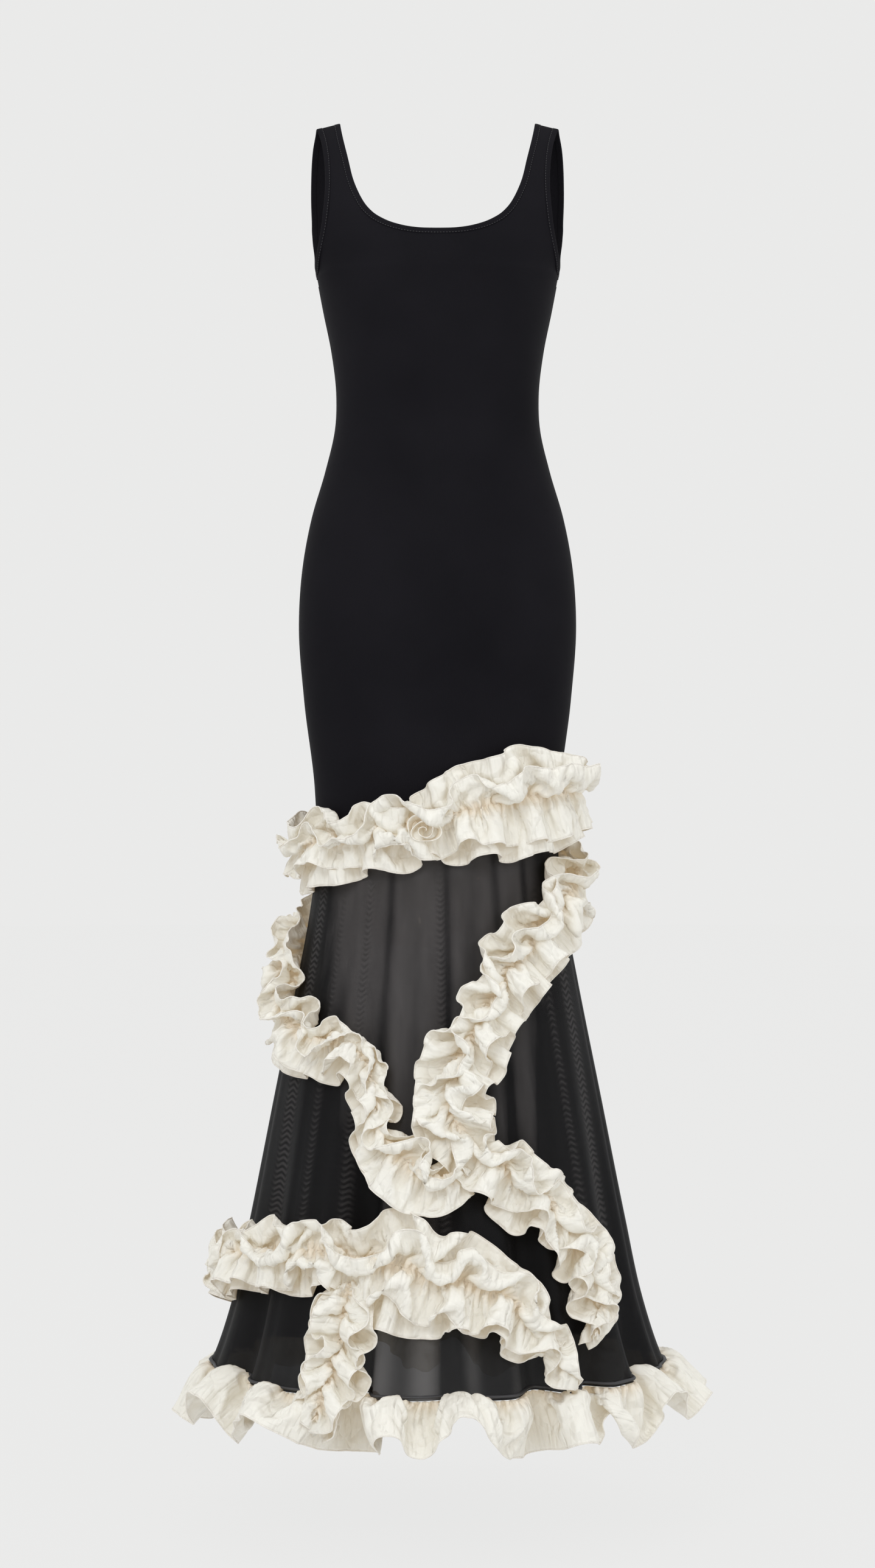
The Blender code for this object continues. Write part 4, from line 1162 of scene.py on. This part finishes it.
def buildHem():
    angles = np.linspace(-90, 270, 1441)
    top = skirtPoint(angles, levels["hem"], -0.4)
    lengths = distances(top)
    ratio = hemRuffle["ratio"]
    count = round(lengths[-1] * ratio / gathering["step"])
    even = np.linspace(0, 1, count + 1)
    angle = np.interp(even * lengths[-1], lengths, angles)
    top = skirtPoint(angle, levels["hem"], -0.4)
    roundIt, _, out, _, _ = formFrame(angle, levels["hem"])
    out = unit(out * [1, 1, 0])
    starts = waveStarts(hemRuffle["waves"], hemRuffle["seed"])
    share = (angle + 90) / 360
    phase = np.interp(share, starts, range(hemRuffle["waves"] + 1))
    strengths = waveStrengths(hemRuffle["waves"], hemRuffle["seed"], True)
    strength = np.interp(phase, range(len(strengths)), strengths[:, 0])
    extra = 0.6 * slowNoise(count + 1, 60, 71, True)
    swing = 0.5 + 0.5 * np.sin(2 * math.pi * phase + extra)
    opened = np.radians(hemRuffle["closed"] + (hemRuffle["open"] - hemRuffle["closed"]) * swing * strength)
    ease = formPoint(angle, levels["hem"]) - top
    rows = round(hemRuffle["drop"] / gathering["rowStep"])
    pleatPhase = 2 * math.pi * even * count * gathering["step"] / gathering["pleat"]
    pleatPhase = pleatPhase + 2.0 * slowNoise(count + 1, 21, 72, True)
    table = []
    for place in range(rows, -1, -1):
        reach = place * gathering["rowStep"]
        sway = -hemRuffle["sway"] * hemRuffle["drop"] * np.sin(4 * math.pi * phase) * (place / rows) ** 1.3
        pleat = 1.7 * np.sin(pleatPhase) * math.exp(-reach / 12)
        point = top + ease * (place / rows) * hemRuffle["ease"] + out * (np.sin(opened) * reach + pleat)[:, None]
        point = point + roundIt * sway[:, None] - np.array([0, 0, 1.0]) * (np.cos(opened) * reach + 0.6)[:, None]
        table.append(point)
    table = np.stack(table)
    openFloor = np.full_like(floor, -90.0)  # nothing lies under the hem ruffle
    table = settled(table, rows, gathering["rowStep"], openFloor, True, ceiling=70.0, gravity=0.0, far=12, bend=0.6)
    uv = np.stack(np.meshgrid(even * count * gathering["step"], np.arange(rows, -1, -1) * gathering["rowStep"]), axis=-1)
    finishRuffle("hem_ruffle_cloth", table[::-1], uv[::-1], 0, ["hem_ruffle_front", "hem_ruffle_back"],
                 bothEdges=False)
    rollEdges("hem_ruffle_rolled_edge", table[::-1], True, bothEdges=False)


buildHem()
print("hem ruffle made")


# A lamp has its place, size and power
studio = {
    "distance": 3.3, "height": -0.7574, "lens": 65.9, "floorDrop": 1.60, "floorRadius": 14.0, "aim": (0, 0, -0.8),
    "tint": (1, 1, 0.993, 1), "paperGlow": 0.786, "worldGlow": 0.823,
    "lamps": {
        "key": ((-1.2, -3.1, 1.2), 1.6, 34), "fill": ((2.2, -2.6, 0.1), 2.0, 14), "top": ((0.0, -0.4, 2.2), 2.4, 16),
    },
}


def stageFinish():
    made = Finish("studio paper")
    cloud = made.noise(2.0, 2.0)
    tone = made.blend(cloud, (0.039, 0.039, 0.0388, 1), (0.041, 0.041, 0.0408, 1))
    return made.surface(Base_Color=tone, Roughness=1.0, Specular_IOR_Level=0.0,
                        Emission_Color=studio["tint"], Emission_Strength=studio["paperGlow"])


def buildStudio():
    bm = bmesh.new()
    bmesh.ops.create_circle(bm, cap_ends=True, segments=96, radius=studio["floorRadius"])
    for vert in bm.verts:
        vert.co.z = -studio["floorDrop"]
    mesh = bpy.data.meshes.new("studio_floor")
    bm.to_mesh(mesh)
    bm.free()
    mesh.materials.append(stageFinish())
    ground = bpy.data.objects.new("studio_floor", mesh)
    bpy.context.scene.collection.objects.link(ground)

    world = bpy.data.worlds.new("studio")
    world.use_nodes = True
    background = world.node_tree.nodes["Background"]
    background.inputs["Color"].default_value = studio["tint"]
    background.inputs["Strength"].default_value = studio["worldGlow"]
    bpy.context.scene.world = world
    for name, (place, size, power) in studio["lamps"].items():
        light = bpy.data.lights.new(name, "AREA")
        light.shape, light.size, light.energy = "DISK", size, power
        lamp = bpy.data.objects.new(name, light)
        lamp.location = place
        aim = Vector(studio["aim"]) - Vector(place)
        lamp.rotation_euler = aim.to_track_quat("-Z", "Y").to_euler()
        bpy.context.scene.collection.objects.link(lamp)

    view = bpy.data.cameras.new("photo")
    view.lens, view.sensor_width, view.sensor_fit = studio["lens"], 36.0, "AUTO"
    eye = bpy.data.objects.new("photo", view)
    eye.location = (0, -studio["distance"], studio["height"])
    eye.rotation_euler = (math.pi / 2, 0, 0)
    bpy.context.scene.collection.objects.link(eye)
    bpy.context.scene.camera = eye
    bpy.context.scene.view_settings.view_transform = "Standard"


buildStudio()
